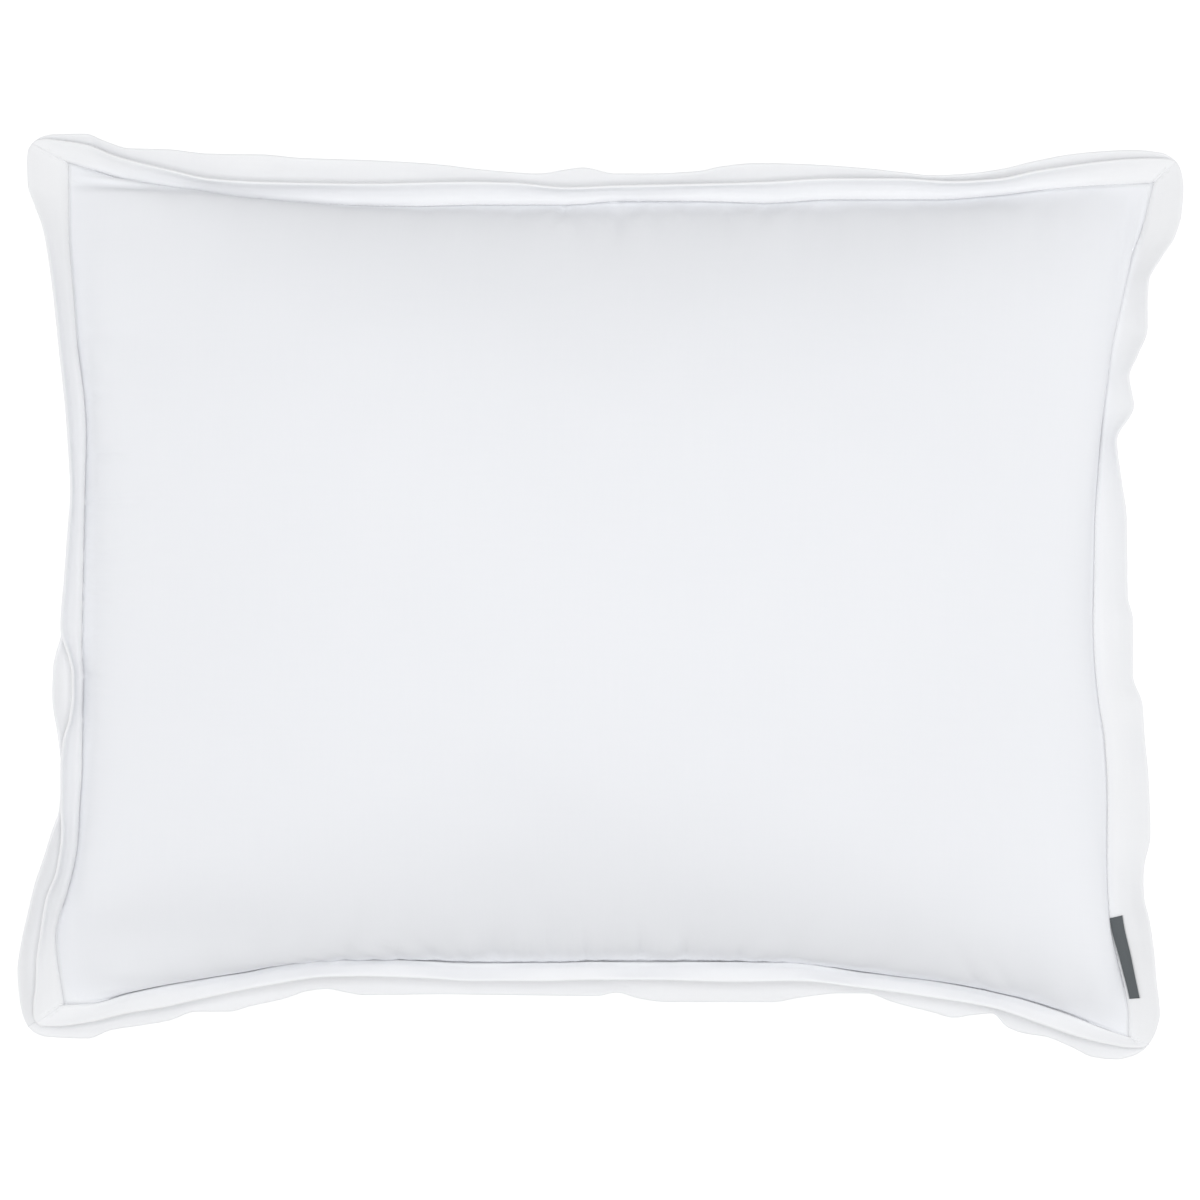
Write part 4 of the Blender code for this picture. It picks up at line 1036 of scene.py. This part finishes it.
insert_middle = coons(seam, s_in, t_in)
edge_share = towards_cover(np.minimum(s_in, 1 - s_in) - inset_x, 0.075)[:, None] * towards_cover(np.minimum(t_in, 1 - t_in) - inset_y, 0.094)[None, :]
insert_flat = np.stack(np.broadcast_arrays((s_in * CLOTH_LENGTH)[:, None], (t_in * CLOTH_WIDTH)[None, :], 0.0), -1)
shells, insides = {}, {}
for which, cloth, sign in (("front", front_cloth, 1), ("back", back_cloth, -1)):
    cover = sampled(cloth, s_in, t_in)
    n = normals(cover) * sign
    roof = cover - n * 0.0022
    rumple = 0.0004 * np.sin(cover[..., 0] * 410 + 2 * np.sin(cover[..., 1] * 90)) * np.sin(cover[..., 1] * 370 + 1.5 * np.sin(cover[..., 0] * 70))
    outer = insert_middle + [0, 0, sign * 0.0009] + edge_share[..., None] * (roof - insert_middle - [0, 0, sign * 0.0009])
    outer = outer - n * (np.abs(rumple) * edge_share)[..., None]
    own = normals(outer) * sign
    inner = outer - own * 0.0006
    shell = closed_sheet(f"insert_shell_{which}_cloth", outer, inner, insert_flat)
    dress(shell, "ticking", "pillow", f"insert_shell_{which}")
    shells[which], insides[which] = shell, inner

u = np.linspace(0, 1, 120)[:-1]
piping_s, piping_t = inset_x - 0.0042, inset_y - 0.0052
loop = np.concatenate([
    coons(seam, piping_s + u * (1 - 2 * piping_s), np.array([piping_t]))[:, 0],
    coons(seam, np.array([1 - piping_s]), piping_t + u * (1 - 2 * piping_t))[0],
    coons(seam, (1 - piping_s) - u * (1 - 2 * piping_s), np.array([1 - piping_t]))[:, 0],
    coons(seam, np.array([piping_s]), (1 - piping_t) - u * (1 - 2 * piping_t))[0],
])
walked = np.concatenate([[0], np.cumsum(np.linalg.norm(np.diff(loop, axis=0), axis=1))])
out = outward(loop)
turn = np.linspace(0, 2 * np.pi, 10, endpoint=False)
radius = 0.0013 * (1 + 0.06 * np.sin(walked * 900))
ring = loop[:, None] + radius[:, None, None] * (np.cos(turn)[None, :, None] * out[:, None] + np.sin(turn)[None, :, None] * np.array([0, 0, 1.0]))
count = len(loop)
faces = [(k * 10 + q, k * 10 + (q + 1) % 10, ((k + 1) % count) * 10 + (q + 1) % 10, ((k + 1) % count) * 10 + q) for k in range(count) for q in range(10)]
ring_flat = np.stack(np.broadcast_arrays(walked[:, None], (turn * 0.0013)[None, :], 0.0), -1)
piping = new_object("insert_piping_cord", ring.reshape(-1, 3), faces, ring_flat.reshape(-1, 3))
dress(piping, "piping", "pillow", "insert_piping")

core = (slice(2, -2), slice(2, -2))
clumps = 0.0010 * (1 + np.sin(insert_flat[..., 0] * 260 + 3 * np.sin(insert_flat[..., 1] * 60)) * np.sin(insert_flat[..., 1] * 240 + 3 * np.sin(insert_flat[..., 0] * 50)))
high = insides["front"] - [0, 0, 0.0006] - np.stack([0 * clumps, 0 * clumps, clumps * edge_share], -1)
low = insides["back"] + [0, 0, 0.0006] + np.stack([0 * clumps, 0 * clumps, clumps * edge_share], -1)
high, low = high[core], low[core]
too_close = high[..., 2] - low[..., 2] < 0.0012
middle_z = (high[..., 2] + low[..., 2]) / 2
high[..., 2] = np.where(too_close, middle_z + 0.0006, high[..., 2])
low[..., 2] = np.where(too_close, middle_z - 0.0006, low[..., 2])
fill = closed_sheet("insert_filling", high, low, insert_flat[core])
dress(fill, "fill", "pillow", "insert_fill")

# ---------------------------------------------------------------- each strip's seam length, worked out and not used
def around_length(side):
    return float(np.linalg.norm(np.diff(seam(side, np.linspace(0, 1, 200)), axis=0), axis=1).sum())


for (which, side), (made, (line, *_)) in strips.items():
    around_length(side) + 0.020

# ---------------------------------------------------------------- floor, light and camera
GLOW, SKY, OVERHEAD, LEFT, RIGHT = 0.32, 0.385, 51.5, 8.3, 9.6
floor_mesh = bpy.data.meshes.new("floor")
reach = 9.0
floor_mesh.from_pydata([(-reach, -reach, cad_low.z - 0.0004), (reach, -reach, cad_low.z - 0.0004), (reach, reach, cad_low.z - 0.0004), (-reach, reach, cad_low.z - 0.0004)], [], [(0, 1, 2, 3)])
floor = bpy.data.objects.new("floor", floor_mesh)
scene.collection.objects.link(floor)
paper = Nodes("floor_paper")
paper.shader.inputs["Base Color"].default_value = (0.85, 0.85, 0.85, 1)
paper.shader.inputs["Roughness"].default_value = 0.9
paper.shader.inputs["Specular IOR Level"].default_value = 0.1
paper.shader.inputs["Emission Color"].default_value = (1, 1, 1, 1)
paper.shader.inputs["Emission Strength"].default_value = GLOW
floor_mesh.materials.append(paper.material)

world = bpy.data.worlds.new("studio")
scene.world = world
world.use_nodes = True
world.node_tree.nodes["Background"].inputs["Color"].default_value = (1, 1, 1, 1)
world.node_tree.nodes["Background"].inputs["Strength"].default_value = SKY


def softbox(name, position, size, power, colour=(1, 1, 1)):
    data = bpy.data.lights.new(name, "AREA")
    data.shape = "RECTANGLE"
    data.size, data.size_y = size
    data.energy = power
    data.color = colour
    made = bpy.data.objects.new(name, data)
    scene.collection.objects.link(made)
    made.location = position
    made.rotation_mode = "QUATERNION"
    made.rotation_quaternion = (Vector((0, 0, SEAM_Z)) - Vector(position)).to_track_quat("-Z", "Y")
    made.visible_camera = False
    return made


softbox("softbox_above", (0, 0, 3.2), (2.2, 2.2), OVERHEAD)
softbox("softbox_left", (-1.9, 0, 0.95), (2.2, 1.1), LEFT)
softbox("softbox_right", (1.9, 0, 0.95), (2.2, 1.1), RIGHT)

camera_data = bpy.data.cameras.new("camera")
camera_data.sensor_width = 36
camera_data.lens = 36 * EYE / (1200 * 0.0005745)
camera = bpy.data.objects.new("camera", camera_data)
scene.collection.objects.link(camera)
camera.location = (MIDDLE_X - 0.0003, MIDDLE_Y - 0.0020, SEAM_Z + EYE)
scene.camera = camera
scene.view_settings.view_transform = "Standard"
scene.view_settings.look = "None"
